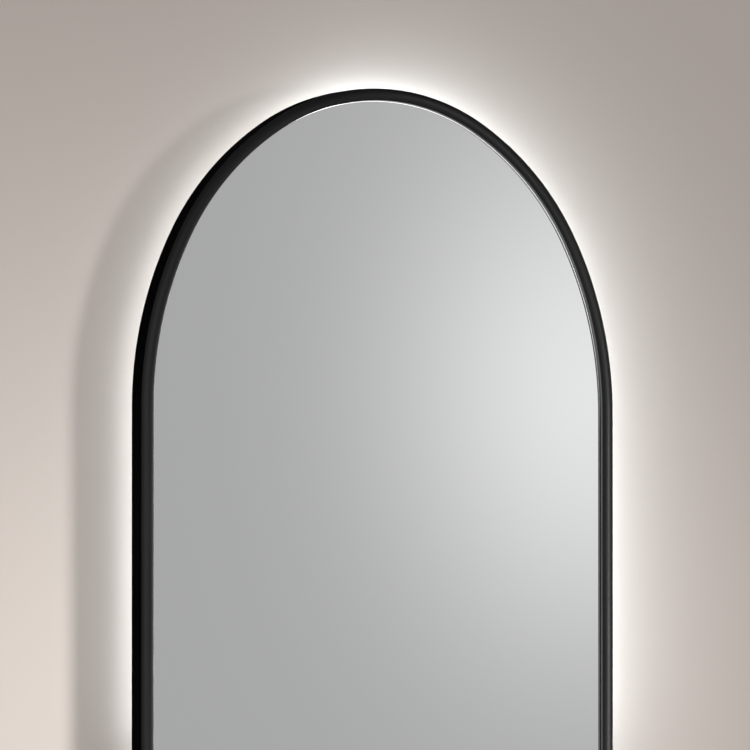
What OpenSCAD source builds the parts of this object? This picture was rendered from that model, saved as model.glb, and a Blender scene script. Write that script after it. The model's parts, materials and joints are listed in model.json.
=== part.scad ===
/* [Mirror] */
// Overall width across the frame
mirror_w = 500; // [440:10:620]
// Height of the straight sides, from the bottom edge to the spring of the arch
side_h = 380; // [350:10:800]
// Height of the arch above its spring line, more than half the width
arch_rise = 320; // [270:5:420]
// Height of the wall screws above the spring line
rail_h = 110; // [80:5:130]

/* [Frame] */
// Width of the front face
face_w = 12; // [10:0.5:18]
// Depth of the frame, from its face to its rear edge
frame_d = 33; // [30:1:45]
// Gap between the frame's rear edge and the wall, where the light comes out
light_gap = 17; // [14:1:24]
// Depth of the glass below the face
recess = 7; // [4:0.5:9]
// Thickness of the outer and inner walls
frame_wall = 1.6; // [1.2:0.1:2.4]
// Thickness of the front face
face_t = 2; // [1.5:0.1:3]
// Thickness of the web that closes the hollow behind the face
web_t = 1.5; // [1.2:0.1:2]
// Width of the ledge that carries the glass, inside the inner wall
ledge_w = 8; // [6:0.5:14]

/* [Glass] */
// Thickness of the mirror glass
glass_t = 5; // [4:0.5:6]
// Gap between the edge of the glass and the frame's inner wall
glass_gap = 0.5; // [0.3:0.1:1]
// Thickness of the safety film on the back of the glass
film_t = 0.2; // [0.1:0.05:0.4]
// Thickness of the foam tape that bonds the glass
tape_t = 0.8; // [0.6:0.1:1.2]
// Width of the foam tape
tape_w = 6; // [4:0.5:8]
// Width of the demister pad
pad_w = 280; // [160:10:300]
// Height of the demister pad
pad_h = 200; // [190:10:300]
// Thickness of the demister pad
pad_t = 0.4; // [0.3:0.1:0.6]

/* [Backing plate] */
// Thickness of the steel plate
plate_t = 1; // [0.8:0.1:1.5]
// Gap between the plate and the frame's outer wall
plate_gap = 0.5; // [0.3:0.1:1.5]

/* [Light] */
// How far the light carrier stands in from the frame's edge
light_inset = 45; // [40:1:60]
// Thickness of the carrier's walls
carrier_t = 1.5; // [1.2:0.1:2]
// Width of the carrier's front flange
front_flange = 21; // [19:0.5:26]
// Width of the carrier's rear flange
rear_flange = 13; // [12:0.5:14]
// Distance from the middle of the light groove to the wall
groove_z = 15; // [14.5:0.5:18]
// Width of the light groove
groove_w = 12; // [11:0.5:13]
// Depth of the light groove
groove_d = 10; // [8:0.5:14]
// Width of the LED strip
strip_w = 8; // [6:0.5:10]
// Thickness of the LED strip
strip_t = 0.4; // [0.3:0.1:0.6]
// Distance between two LEDs
led_pitch = 33.3; // [25:0.1:60]
// Side of one LED
led_size = 3; // [2:0.5:5]
// Height of one LED
led_h = 0.8; // [0.6:0.1:1.6]
// Thickness of the opal diffuser
diffuser_t = 1.6; // [1.2:0.1:2]
// Depth of the diffuser's side lips
diffuser_lip = 3.4; // [2:0.2:5]

/* [Hanging] */
// Least distance between the rail's ends and the bracket's screws
rail_clear = 22; // [18:1:40]
// Distance of each wall screw from the rail's end
screw_end = 20; // [12:1:40]
// Length of the bracket's hook beyond each end of the rail
hook_over = 5; // [2:1:8]
// Diameter of the holes for the wall screws
wall_hole_d = 5.5; // [4.5:0.5:6.5]
// Thickness of the steel of the rail and of the bracket
steel_t = 1.5; // [1.2:0.1:1.8]
// Gap on each side of the rail's lip inside the bracket's hook
hook_gap = 0.5; // [0.3:0.1:0.6]
// Distance between the bracket's hook and the wall
hook_wall_gap = 1.2; // [0.8:0.1:1.4]
// Height of the rail's lip above the wall screws
lip_h = 20; // [18:1:24]
// How far the bracket's hook reaches down behind the rail's lip
hook_h = 9.5; // [7:0.5:10]
// Height of the rail's flange above the wall screws
rail_up = 8; // [7:0.5:8]
// Depth of the rail's flange below the wall screws
rail_down = 12; // [9:1:20]
// Height of the bracket's flange
bracket_h = 18; // [16:1:24]
// Diameter of the wall bumpers
bumper_d = 12; // [8:1:12]
// Distance of each wall bumper from the middle
bumper_x = 150; // [90:10:160]

/* [Driver] */
// Length of the driver case
driver_l = 150; // [130:5:160]
// Width of the driver case
driver_w = 42; // [36:1:60]
// Depth of the driver case with its cover
driver_h = 22; // [18:0.5:24]
// Thickness of its walls
driver_t = 1.6; // [1.2:0.1:2.4]
// Length of each fixing ear
ear_l = 9; // [8:0.5:14]
// Place of the driver's middle to the right of the mirror's middle
driver_x = 30; // [20:1:36]
// Height of the driver's middle above the mirror's bottom edge
driver_up = 165; // [130:5:180]

/* [Junction box] */
// Width of the junction box
box_w = 84; // [80:1:96]
// Height of the junction box
box_h = 54; // [50:1:64]
// Depth of the junction box with its lid
box_d = 24.5; // [24:0.5:26]
// Thickness of its walls
box_t = 2; // [1.5:0.1:2.5]
// Thickness of its lid
lid_t = 2; // [1.5:0.1:2.5]
// Place of the box's middle to the left of the mirror's middle
box_x = 90; // [88:1:96]
// Height of the box's middle below the spring line
box_y = 80; // [75:1:90]
// Diameter of the lid's hinge pin
pin_d = 2; // [1.6:0.1:2.4]
// Diameter of the lid's hinge knuckles
knuckle_d = 5; // [4.6:0.2:6]

/* [Terminals] */
// Distance between two poles of the terminal block
pole_pitch = 6.6; // [6:0.2:7]
// Thickness of the walls between its poles
pole_wall = 1.2; // [0.8:0.1:1.6]
// Length of the terminal block
block_l = 22; // [20:1:26]
// Depth of the terminal block
block_d = 9; // [8.5:0.5:10]
// Length of a terminal lever beyond its pin
lever_l = 12; // [10:0.5:12]
// Diameter of the levers' barrels
barrel_d = 4.4; // [4:0.2:4.8]
// Diameter of the levers' pin
lever_pin_d = 2; // [1.6:0.1:2.4]

/* [Leads and gland] */
// Diameter of the cable that the gland takes
cable_d = 8; // [6:0.5:9]
// Diameter of the mains lead to the driver
mains_d = 5; // [4:0.5:6]
// Diameter of the thin leads
lead_d = 3; // [2.5:0.1:3.4]

/* [Fasteners] */
// Diameter of the small screws
screw_d = 3; // [2.5:0.5:3.5]
// Diameter of the bracket's and corner keys' screws
big_screw_d = 4; // [3.5:0.5:5]

/* [Hidden] */
$fn = 96;

// Everything is drawn lying on the wall: x to the right, y up from the spring line of the
// arch, z out of the wall. stand() turns it upright, with the origin between the wall screws.
black = "#1c1c1e";
steel = "#b9bdc1";
zinc = "#c9ccce";
fit = 0.1;
running = 0.05;
overcut = 1;
half_w = mirror_w / 2;

// Depths, measured from the wall
face_z = light_gap + frame_d;
glass_z = face_z - recess - glass_t;
film_z = glass_z - film_t;
tape_z = film_z - tape_t;
web_z = tape_z - web_t;
plate_z = web_z - plate_t;
plate_front = plate_z + plate_t;
chamber_z = web_z + web_t;
chamber_top = face_z - face_t;
hook_z = hook_wall_gap;
lip_z = hook_z + steel_t + hook_gap;
bracket_z = lip_z + steel_t + hook_gap;
carrier_z = bracket_z + steel_t;

// The arch has five centres: two side arcs, two haunches and a crown, near to a half ellipse
side_share = 0.923;
crown_share = 0.953;
side_c = [-side_share * (arch_rise * arch_rise / half_w - half_w), 0];
crown_c = [0, crown_share * (arch_rise - half_w * half_w / arch_rise)];
side_r = half_w - side_c[0];
crown_r = arch_rise - crown_c[1];
haunch_r = sqrt(side_r * crown_r);
centre_gap = norm(crown_c - side_c);
centre_line = (crown_c - side_c) / centre_gap;
side_step = side_r - haunch_r;
crown_step = haunch_r - crown_r;
centre_foot = (pow(side_step, 2) - pow(crown_step, 2) + pow(centre_gap, 2)) / (2 * centre_gap);
centre_off = sqrt(pow(side_step, 2) - pow(centre_foot, 2));
haunch_c = side_c + centre_foot * centre_line + centre_off * [centre_line[1], -centre_line[0]];
side_end = atan2(haunch_c[1] - side_c[1], haunch_c[0] - side_c[0]);
crown_start = atan2(crown_c[1] - haunch_c[1], crown_c[0] - haunch_c[0]);

// A point of the arch at a given inset, where the outline faces the angle a
function on_arch(a, inset) =
  a > 90 ? [-on_arch(180 - a, inset)[0], on_arch(180 - a, inset)[1]]
  : a <= side_end ? side_c + (side_r - inset) * [cos(a), sin(a)]
  : a <= crown_start ? haunch_c + (haunch_r - inset) * [cos(a), sin(a)]
  : crown_c + (crown_r - inset) * [cos(a), sin(a)];

// Half the width at a height on the side arc, at a given inset
function half_at(y, inset) = side_c[0] + sqrt(pow(side_r - inset, 2) - y * y);

function inset_bottom(inset) = -side_h + inset;

module stand() {
  rotate([90, 0, 0]) translate([0, -rail_h, 0]) children();
}

// The space inside two mirrored circles, between two heights
module lens(c, r, low, high) {
  intersection() {
    translate(c) circle(r);
    translate([-c[0], c[1]]) circle(r);
    translate([-half_w, low]) square([2 * half_w, high - low]);
  }
}

// The mirror's outline, drawn in by an inset. Each arc's area reaches down into the one below.
module arch_area(inset) {
  low = -arch_rise / 4;
  translate([-half_w + inset, inset_bottom(inset)])
    square([2 * (half_w - inset), side_h - inset]);
  lens(side_c, side_r - inset, low, on_arch(side_end, inset)[1]);
  lens(haunch_c, haunch_r - inset, low, on_arch(crown_start, inset)[1]);
  translate(crown_c) circle(crown_r - inset);
}

// A band that follows the outline between two insets, from one depth to another
module band(outer, inner, low, high) {
  translate([0, 0, low]) linear_extrude(high - low)
    difference() {
      union() arch_area(outer);
      arch_area(inner);
    }
}

// The wedge below the two mitre lines, which parts the bottom rail from the arch
module mitre_wedge(depth) {
  rise = half_w / 2;
  translate([0, 0, -overcut]) linear_extrude(depth + 2 * overcut)
    polygon([
      [-half_w - overcut, -side_h - overcut], [half_w + overcut, -side_h - overcut],
      [half_w - rise, -side_h + rise], [-half_w + rise, -side_h + rise]
    ]);
}

module above_mitre(depth) {
  difference() {
    children();
    mitre_wedge(depth);
  }
}

module below_mitre(depth) {
  intersection() {
    children();
    mitre_wedge(depth);
  }
}

// A pan-head screw with its head below z = 0 and its shank above
module pan_screw(d, length) {
  head_d = 1.9 * d;
  head_h = 0.55 * d;
  slot_w = 0.25 * d;
  difference() {
    union() {
      cylinder(h = length, d = d, $fn = 24);
      translate([0, 0, -head_h]) cylinder(h = head_h, d = head_d, $fn = 32);
    }
    for (turn = [0, 90]) rotate([0, 0, turn])
      translate([-0.6 * d, -slot_w / 2, -head_h - overcut]) cube([1.2 * d, slot_w, overcut + head_h / 2]);
  }
}

// A tube along a route of points, its rings carried round each bend without a twist
function turned(v, from, to) =
  let (axis = cross(from, to), s = norm(axis))
  s < 0.000001 ? v
  : let (u = axis / s, a = atan2(s, from * to))
    v * cos(a) + cross(u, v) * sin(a) + u * (u * v) * (1 - cos(a));

function unit(v) = v / norm(v);

function bend(a, p, b, r, steps) =
  let (from = p + unit(a - p) * r, to = p + unit(b - p) * r)
  [for (i = [0 : steps]) let (t = i / steps) (1 - t) * (1 - t) * from + 2 * t * (1 - t) * p + t * t * to];

function rounded_route(points, r, steps = 5) =
  [
    points[0],
    for (i = [1 : len(points) - 2]) each bend(points[i - 1], points[i], points[i + 1], r, steps),
    points[len(points) - 1]
  ];

module tube(route, d, sides = 8) {
  last = len(route) - 1;
  ways = [for (i = [0 : last]) unit(route[min(i + 1, last)] - route[max(i - 1, 0)])];
  side_0 = unit(cross(ways[0], abs(ways[0][2]) > 0.9 ? [1, 0, 0] : [0, 0, 1]));
  across = [for (i = 0, v = side_0; i <= last; v = turned(v, ways[i], ways[min(i + 1, last)]), i = i + 1) v];
  rings = [
    for (i = [0 : last], k = [0 : sides - 1])
      let (a = 360 * k / sides)
      route[i] + d / 2 * (across[i] * cos(a) + cross(ways[i], across[i]) * sin(a))
  ];
  walls = [
    for (i = [0 : last - 1], k = [0 : sides - 1])
      let (p = i * sides + k, q = i * sides + (k + 1) % sides)
      each [[p, p + sides, q], [q, p + sides, q + sides]]
  ];
  near_end = [for (k = [1 : sides - 2]) [0, k, k + 1]];
  far_end = [for (k = [1 : sides - 2]) [last * sides, last * sides + k + 1, last * sides + k]];
  polyhedron(rings, concat(walls, near_end, far_end));
}

// Hanging bracket: it lies across the light carrier's rear flanges, above the rail
bracket_y = rail_h + lip_h;
bracket_mid = bracket_y + bracket_h / 2;
bracket_end = half_at(bracket_y + bracket_h, light_inset + 1);
bracket_screw_x = half_at(bracket_mid, light_inset + carrier_t + (rear_flange - carrier_t) / 2);
bracket_screw_step = 5;

// Wall rail: a Z-shaped steel bar with its lip standing up, cut to a whole centimetre
rail_len = 10 * floor((bracket_screw_x - rail_clear) / 5);
screw_span = rail_len - 2 * screw_end;

module wall_rail() {
  color(zinc) stand() translate([0, rail_h, 0]) difference() {
    union() {
      translate([-rail_len / 2, -rail_down, 0]) cube([rail_len, rail_down + rail_up, steel_t]);
      translate([-rail_len / 2, rail_up - steel_t, 0]) cube([rail_len, steel_t, lip_z + steel_t]);
      translate([-rail_len / 2, rail_up - steel_t, lip_z])
        cube([rail_len, lip_h - rail_up + steel_t, steel_t]);
    }
    for (side = [-1, 1]) translate([side * screw_span / 2, 0, -overcut])
      cylinder(h = steel_t + 2 * overcut, d = wall_hole_d, $fn = 48);
  }
}

function bracket_screw_points() =
  [for (side = [-1, 1], up = [-1, 1]) [side * bracket_screw_x, bracket_mid + up * bracket_screw_step]];

module hang_bracket() {
  hook_len = rail_len + 2 * hook_over;
  color(zinc) stand() difference() {
    union() {
      translate([-bracket_end, bracket_y, bracket_z]) cube([2 * bracket_end, bracket_h, steel_t]);
      translate([-hook_len / 2, bracket_y, hook_z]) cube([hook_len, steel_t, carrier_z - hook_z]);
      translate([-hook_len / 2, bracket_y - hook_h, hook_z]) cube([hook_len, hook_h + steel_t, steel_t]);
    }
    for (p = bracket_screw_points()) translate([p[0], p[1], bracket_z - overcut])
      cylinder(h = steel_t + 2 * overcut, d = big_screw_d + 2 * fit, $fn = 32);
  }
}

module bracket_screws() {
  length = 8;
  color(steel) stand() for (p = bracket_screw_points())
    translate([p[0], p[1], bracket_z]) pan_screw(big_screw_d, length);
}

// Frame: one hollow section, bent into the arch and mitred to the bottom rail
inner_wall = face_w - frame_wall;
ledge_end = face_w + ledge_w;

// Screws that hold the backing plate to the frame, along the middle of the hollow
plate_screw_inset = face_w / 2;
arch_angles = [20, 55, 90, 125, 160];
leg_shares = [0.1, 0.45, 0.8];
bottom_shares = [-0.5, 0, 0.5];

function ring_points(inset) = [
  for (a = arch_angles) on_arch(a, inset),
  for (side = [-1, 1], share = leg_shares) [side * (half_w - inset), -share * side_h],
  for (share = bottom_shares) [share * half_w, inset_bottom(inset)]
];

module frame_section() {
  difference() {
    union() {
      band(0, frame_wall, light_gap, face_z);
      band(frame_wall / 2, inner_wall + frame_wall / 2, chamber_top, face_z);
      band(inner_wall, face_w, web_z, face_z);
      band(frame_wall / 2, ledge_end, web_z, chamber_z);
    }
    for (p = ring_points(plate_screw_inset)) translate([p[0], p[1], web_z - overcut])
      cylinder(h = web_t + 2 * overcut, d = screw_d + 2 * fit, $fn = 32);
    for (p = key_screw_points()) translate([p[0], p[1], web_z - overcut])
      cylinder(h = web_t + 2 * overcut, d = big_screw_d + 2 * fit, $fn = 32);
  }
}

module frame_arch() {
  color(black) stand() above_mitre(face_z) frame_section();
}

module frame_bottom() {
  color(black) stand() below_mitre(face_z) frame_section();
}

// Corner keys: L-shaped blocks inside the hollow of the two mitred corners
key_leg = 34;
key_gap = 0.15;
key_low = frame_wall + key_gap;
key_w = inner_wall - frame_wall - 2 * key_gap;
key_h = chamber_top - chamber_z - 2 * key_gap;
key_screw_at = 24;

function key_screw_points() = [
  for (side = [-1, 1], p = [[plate_screw_inset, key_screw_at], [key_screw_at, plate_screw_inset]])
    [side * (half_w - p[0]), -side_h + p[1]]
];

module corner_keys() {
  color(steel) stand() difference() {
    for (side = [-1, 1])
      translate([side * half_w, -side_h, chamber_z + key_gap]) mirror([(side + 1) / 2, 0, 0])
      translate([key_low, key_low, 0]) {
        cube([key_leg, key_w, key_h]);
        cube([key_w, key_leg, key_h]);
      }
    for (p = key_screw_points()) translate([p[0], p[1], chamber_z - overcut])
      cylinder(h = key_h / 2 + overcut, d = big_screw_d + 2 * fit, $fn = 32);
  }
}

module corner_screws() {
  socket_d = big_screw_d / 2;
  length = web_t + key_h / 2;
  color(steel) stand() for (p = key_screw_points()) translate([p[0], p[1], web_z]) difference() {
    cylinder(h = length, d = big_screw_d, $fn = 24);
    translate([0, 0, -overcut]) cylinder(h = overcut + length / 3, d = socket_d, $fn = 6);
  }
}

// Glass and what is bonded to its back
glass_inset = face_w + glass_gap;

module mirror_glass() {
  color("#cfd3d6") stand() translate([0, 0, glass_z]) linear_extrude(glass_t) arch_area(glass_inset);
}

module safety_film() {
  color("#6f7478") stand() translate([0, 0, film_z]) linear_extrude(film_t) arch_area(glass_inset);
}

module glass_tape() {
  tape_inset = glass_inset + fit;
  color("#2b2b2b") stand() band(tape_inset, tape_inset + tape_w, tape_z, film_z);
}

module demister_pad() {
  color("#c96b2c") stand() translate([-pad_w / 2, -pad_h / 2, film_z - pad_t]) cube([pad_w, pad_h, pad_t]);
}

// Backing plate: galvanised sheet across the frame's web
plate_inset = frame_wall + plate_gap;
grommet_x = -20;
grommet_hole_d = 8;
stud_y = -30;

module backing_plate() {
  color(zinc) stand() difference() {
    translate([0, 0, plate_z]) linear_extrude(plate_t) arch_area(plate_inset);
    for (p = concat(ring_points(plate_screw_inset), ring_points(carrier_screw_inset), driver_screw_points(),
      box_screw_points())) translate([p[0], p[1], plate_z - overcut])
        cylinder(h = plate_t + 2 * overcut, d = screw_d + 2 * fit, $fn = 32);
    translate([grommet_x, demister_y, plate_z - overcut])
      cylinder(h = plate_t + 2 * overcut, d = grommet_hole_d, $fn = 48);
    translate([stud_x, stud_y, plate_z - overcut])
      cylinder(h = plate_t + 2 * overcut, d = big_screw_d + 2 * fit, $fn = 32);
  }
}

module plate_screws() {
  length = plate_t + web_t + 3;
  color(steel) stand() for (p = ring_points(plate_screw_inset))
    translate([p[0], p[1], plate_z]) pan_screw(screw_d, length);
}

// Light carrier: an extrusion with two flanges inwards and a groove for the light outwards
carrier_screw_inset = light_inset + front_flange - screw_d;
groove_low = groove_z - groove_w / 2;
groove_high = groove_z + groove_w / 2;
led_hole_x = 140;

module carrier_section() {
  mouth = light_inset - groove_d;
  web_in = light_inset + carrier_t;
  bottom_web = inset_bottom(light_inset);
  difference() {
    union() {
      band(light_inset, web_in, carrier_z, plate_z);
      band(light_inset, light_inset + front_flange, plate_z - carrier_t, plate_z);
      band(light_inset, light_inset + rear_flange, carrier_z, carrier_z + carrier_t);
      band(mouth, web_in, groove_low - carrier_t, groove_low);
      band(mouth, web_in, groove_high, groove_high + carrier_t);
    }
    for (p = ring_points(carrier_screw_inset)) translate([p[0], p[1], plate_z - carrier_t - overcut])
      cylinder(h = carrier_t + 2 * overcut, d = screw_d + 2 * fit, $fn = 32);
    for (p = bracket_screw_points()) translate([p[0], p[1], carrier_z - overcut])
      cylinder(h = carrier_t + 2 * overcut, d = big_screw_d + 2 * fit, $fn = 32);
    translate([led_hole_x, bottom_web - overcut, groove_z]) rotate([-90, 0, 0])
      cylinder(h = carrier_t + 2 * overcut, d = lead_d + 2 * fit, $fn = 32);
  }
}

module light_carrier_arch() {
  color("#9aa0a6") stand() above_mitre(face_z) carrier_section();
}

module light_carrier_bottom() {
  color("#9aa0a6") stand() below_mitre(face_z) carrier_section();
}

module carrier_screws() {
  length = carrier_t + plate_t + 1;
  color(steel) stand() for (p = ring_points(carrier_screw_inset))
    translate([p[0], p[1], plate_z - carrier_t]) pan_screw(screw_d, length);
}

// LED strip on the carrier's web, in two lengths that meet at the bottom corners
led_inset = light_inset - strip_t;

module led_strip() {
  corner = half_w - light_inset;
  color("#f4f4f0") stand() {
    difference() {
      band(led_inset, light_inset, groove_z - strip_w / 2, groove_z + strip_w / 2);
      translate([-mirror_w, -side_h - overcut, 0]) cube([2 * mirror_w, light_inset + 2 * overcut, face_z]);
    }
    translate([-corner, inset_bottom(led_inset), groove_z - strip_w / 2])
      cube([2 * corner, strip_t, strip_w]);
  }
}

module led_at(p, a) {
  translate([p[0], p[1], groove_z]) rotate([0, 0, a])
    translate([0, -led_size / 2, -led_size / 2]) cube([led_h, led_size, led_size]);
}

module led_chips() {
  corner_gap = 12;
  leg_len = side_h - light_inset - corner_gap;
  leg_count = floor(leg_len / led_pitch);
  arch_len = side_r * side_end + haunch_r * (crown_start - side_end) + crown_r * (90 - crown_start);
  arch_count = round((arch_len * PI / 90 - PI * led_inset) / led_pitch);
  bottom_count = floor((mirror_w - 2 * (light_inset + corner_gap)) / led_pitch);
  color("#ffe9a8") stand() {
    for (i = [1 : arch_count - 1]) let (a = 180 * i / arch_count) led_at(on_arch(a, led_inset), a);
    for (side = [0, 1], i = [0 : leg_count])
      led_at([(1 - 2 * side) * (half_w - led_inset), -i * led_pitch], 180 * side);
    for (i = [0 : bottom_count])
      led_at([(i - bottom_count / 2) * led_pitch, inset_bottom(led_inset)], -90);
  }
}

module diffuser_section() {
  mouth = light_inset - groove_d;
  low = groove_low + fit;
  high = groove_high - fit;
  lip_t = 1.2;
  union() {
    band(mouth, mouth + diffuser_t, low, high);
    band(mouth, mouth + diffuser_t + diffuser_lip, low, low + lip_t);
    band(mouth, mouth + diffuser_t + diffuser_lip, high - lip_t, high);
  }
}

module diffuser_arch() {
  color("#fbfaf4") stand() above_mitre(face_z) diffuser_section();
}

module diffuser_bottom() {
  color("#fbfaf4") stand() below_mitre(face_z) diffuser_section();
}

module wall_bumpers() {
  bumper_y = inset_bottom(light_inset + rear_flange / 2);
  color("#333333") stand() for (side = [-1, 1]) translate([side * bumper_x, bumper_y, 0])
    cylinder(h = carrier_z, d = bumper_d, $fn = 48);
}

// LED driver: a tray on the backing plate with a cover towards the wall
driver_y = -side_h + driver_up;
driver_z = plate_z - driver_h;
driver_floor = plate_z - driver_t;
lead_gap = 0.5;
lead_z = plate_z - box_t - mains_d / 2 - lead_gap;
board_t = 1.6;
board_gap = 1.4;
board_z = driver_floor - board_gap - board_t;
end_room = 12;
board_end = driver_l / 2 - driver_t - end_room;
core_l = 26;
ear_x = driver_l / 2 + ear_l / 2;

ear_w = 16;
ear_y = driver_w / 2 - ear_w / 2 - 2;

function driver_screw_points() = [for (side = [-1, 1]) [driver_x + side * ear_x, driver_y + ear_y]];

module driver_case() {
  color("#e8e8e4") stand() translate([driver_x, driver_y, 0]) difference() {
    union() {
      translate([-driver_l / 2, -driver_w / 2, driver_z + driver_t])
        cube([driver_l, driver_w, driver_h - driver_t]);
      translate([-driver_l / 2 - ear_l, ear_y - ear_w / 2, driver_floor])
        cube([driver_l + 2 * ear_l, ear_w, driver_t]);
    }
    translate([-driver_l / 2 + driver_t, -driver_w / 2 + driver_t, driver_z])
      cube([driver_l - 2 * driver_t, driver_w - 2 * driver_t, driver_h - driver_t]);
    for (side = [-1, 1]) translate([side * ear_x, ear_y, driver_floor - overcut])
      cylinder(h = driver_t + 2 * overcut, d = screw_d + 2 * fit, $fn = 32);
    translate([-driver_l / 2 - overcut, 0, lead_z]) rotate([0, 90, 0])
      cylinder(h = driver_t + 2 * overcut, d = mains_d + 2 * fit, $fn = 32);
    translate([driver_l / 2 - driver_t - overcut, 0, lead_z]) rotate([0, 90, 0])
      cylinder(h = driver_t + 2 * overcut, d = lead_d + 2 * fit, $fn = 32);
  }
}

module driver_cover() {
  rim = 2.4;
  color("#dededa") stand() translate([driver_x, driver_y, driver_z]) union() {
    translate([-driver_l / 2, -driver_w / 2, 0]) cube([driver_l, driver_w, driver_t]);
    difference() {
      translate([-driver_l / 2 + driver_t + fit, -driver_w / 2 + driver_t + fit, 0])
        cube([driver_l - 2 * (driver_t + fit), driver_w - 2 * (driver_t + fit), driver_t + rim]);
      translate([-driver_l / 2 + 2 * driver_t + fit, -driver_w / 2 + 2 * driver_t + fit, driver_t])
        cube([driver_l - 2 * (2 * driver_t + fit), driver_w - 2 * (2 * driver_t + fit), rim + overcut]);
    }
  }
}

module driver_board() {
  edge_gap = 0.3;
  post_d = 4;
  board_l = 2 * board_end;
  board_w = driver_w - 2 * (driver_t + edge_gap);
  color("#2f6b46") stand() translate([driver_x, driver_y, board_z]) union() {
    translate([-board_l / 2, -board_w / 2, 0]) cube([board_l, board_w, board_t]);
    for (x = [-1, 1], y = [-1, 1]) translate([x * (board_l / 2 - post_d), y * (board_w / 2 - post_d), 0])
      cylinder(h = board_t + board_gap, d = post_d, $fn = 32);
  }
}

module driver_transformer() {
  core_w = 24;
  core_h = 11;
  coil_l = 16;
  coil_w = 28;
  coil_h = 8;
  color("#4a4038") stand() translate([driver_x, driver_y, board_z]) union() {
    translate([-core_l / 2, -core_w / 2, -core_h]) cube([core_l, core_w, core_h]);
    translate([-coil_l / 2, -coil_w / 2, -coil_h]) cube([coil_l, coil_w, coil_h]);
  }
}

module driver_capacitors() {
  can_d = 10;
  can_h = 10;
  can_gap = 2;
  core_gap = 10;
  near = core_l / 2 + core_gap + can_d / 2;
  color("#31486b") stand() for (x = [-near - can_d - can_gap, -near, near])
    translate([driver_x + x, driver_y, board_z - can_h]) cylinder(h = can_h, d = can_d, $fn = 48);
}

module driver_screws() {
  length = driver_t + plate_t + 1;
  color(steel) stand() for (p = driver_screw_points())
    translate([p[0], p[1], driver_floor]) pan_screw(screw_d, length);
}

// Junction box: open towards the wall, with a hinged lid and a cable gland below
box_z = plate_z - box_d;
rim_z = box_z + lid_t;
box_floor = plate_z - box_t;
box_left = -box_x - box_w / 2;
box_right = box_left + box_w;
box_low = -box_y - box_h / 2;
box_high = box_low + box_h;
knuckle_gap = 0.3;
knuckle_l = 9;
hinge_x = box_left - knuckle_d / 2 - knuckle_gap;
hinge_z = rim_z - lid_t / 2;
hinge_l = 3 * knuckle_l + 2 * knuckle_gap;
hinge_low = -box_y - hinge_l / 2;
screw_in = 11;
screw_up = 8;
stud_in = 12;
stud_x = box_right - stud_in;

module along_y(x, low, z) {
  translate([x, low, z]) rotate([-90, 0, 0]) children();
}

module along_x(low, y, z) {
  translate([low, y, z]) rotate([0, 90, 0]) children();
}

module hinge_bore(d) {
  along_y(hinge_x, hinge_low - overcut, hinge_z) cylinder(h = hinge_l + 2 * overcut, d = d, $fn = 48);
}

function box_screw_points() =
  [for (side = [-1, 1]) [-box_x + side * (box_w / 2 - screw_in), -box_y - side * (box_h / 2 - screw_up)]];

module junction_box() {
  leaf_h = 4;
  hole_l = box_t + 2 * overcut;
  color("#efefec") stand() difference() {
    union() {
      translate([box_left, box_low, rim_z]) cube([box_w, box_h, box_d - lid_t]);
      for (low = [hinge_low, hinge_low + hinge_l - knuckle_l]) {
        along_y(hinge_x, low, hinge_z) cylinder(h = knuckle_l, d = knuckle_d, $fn = 48);
        translate([hinge_x - knuckle_d / 2, low, rim_z])
          cube([box_left - hinge_x + knuckle_d / 2 + box_t / 2, knuckle_l, leaf_h]);
      }
    }
    translate([box_left + box_t, box_low + box_t, rim_z - overcut])
      cube([box_w - 2 * box_t, box_h - 2 * box_t, box_floor - rim_z + overcut]);
    hinge_bore(pin_d + 2 * running);
    along_y(gland_x, box_low - overcut, gland_z) cylinder(h = hole_l, d = thread_d + 2 * fit, $fn = 64);
    along_y(mains_x, box_low - overcut, lead_z) cylinder(h = hole_l, d = mains_d + 2 * fit, $fn = 32);
    along_y(stud_x, box_high - box_t - overcut, lead_z) cylinder(h = hole_l, d = lead_d + 2 * fit, $fn = 32);
    along_x(box_right - box_t - overcut, demister_y, lead_z)
      cylinder(h = hole_l, d = lead_d + 2 * fit, $fn = 32);
    for (p = box_screw_points()) translate([p[0], p[1], box_floor - overcut])
      cylinder(h = hole_l, d = screw_d + 2 * fit, $fn = 32);
  }
}

module junction_lid() {
  lip_gap = 0.5;
  lip_t = 1.2;
  lip_h = 2;
  lip_w = box_w - 2 * (box_t + lip_gap);
  lip_l = box_h - 2 * (box_t + lip_gap);
  middle = hinge_low + knuckle_l + knuckle_gap;
  color("#f4f4f1") stand() difference() {
    union() {
      translate([box_left, box_low, box_z]) cube([box_w, box_h, lid_t]);
      difference() {
        translate([box_left + box_t + lip_gap, box_low + box_t + lip_gap, box_z])
          cube([lip_w, lip_l, lid_t + lip_h]);
        translate([box_left + box_t + lip_gap + lip_t, box_low + box_t + lip_gap + lip_t, box_z])
          cube([lip_w - 2 * lip_t, lip_l - 2 * lip_t, lid_t + lip_h + overcut]);
      }
      along_y(hinge_x, middle, hinge_z) cylinder(h = knuckle_l, d = knuckle_d, $fn = 48);
      translate([hinge_x, middle, box_z]) cube([box_left - hinge_x + box_t, knuckle_l, lid_t]);
    }
    hinge_bore(pin_d + 2 * running);
  }
}

module lid_pin() {
  color(steel) stand() along_y(hinge_x, hinge_low, hinge_z) cylinder(h = hinge_l, d = pin_d, $fn = 48);
}

module box_screws() {
  length = box_t + plate_t + 1;
  color(steel) stand() for (p = box_screw_points())
    translate([p[0], p[1], box_floor]) pan_screw(screw_d, length);
}

// Terminal block with three levers on one pin
poles = 3;
block_w = poles * pole_pitch + pole_wall;
block_left = -box_x - 14;
block_right = block_left + block_l;
block_low = -box_y - block_w / 2;
block_z = box_floor - block_d;
swing_gap = 0.4;
lever_x = block_left + barrel_d / 2 + swing_gap + 1.6;
lever_z = block_z + barrel_d / 2;
lever_w = pole_pitch - pole_wall - 2 * 0.3;

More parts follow.
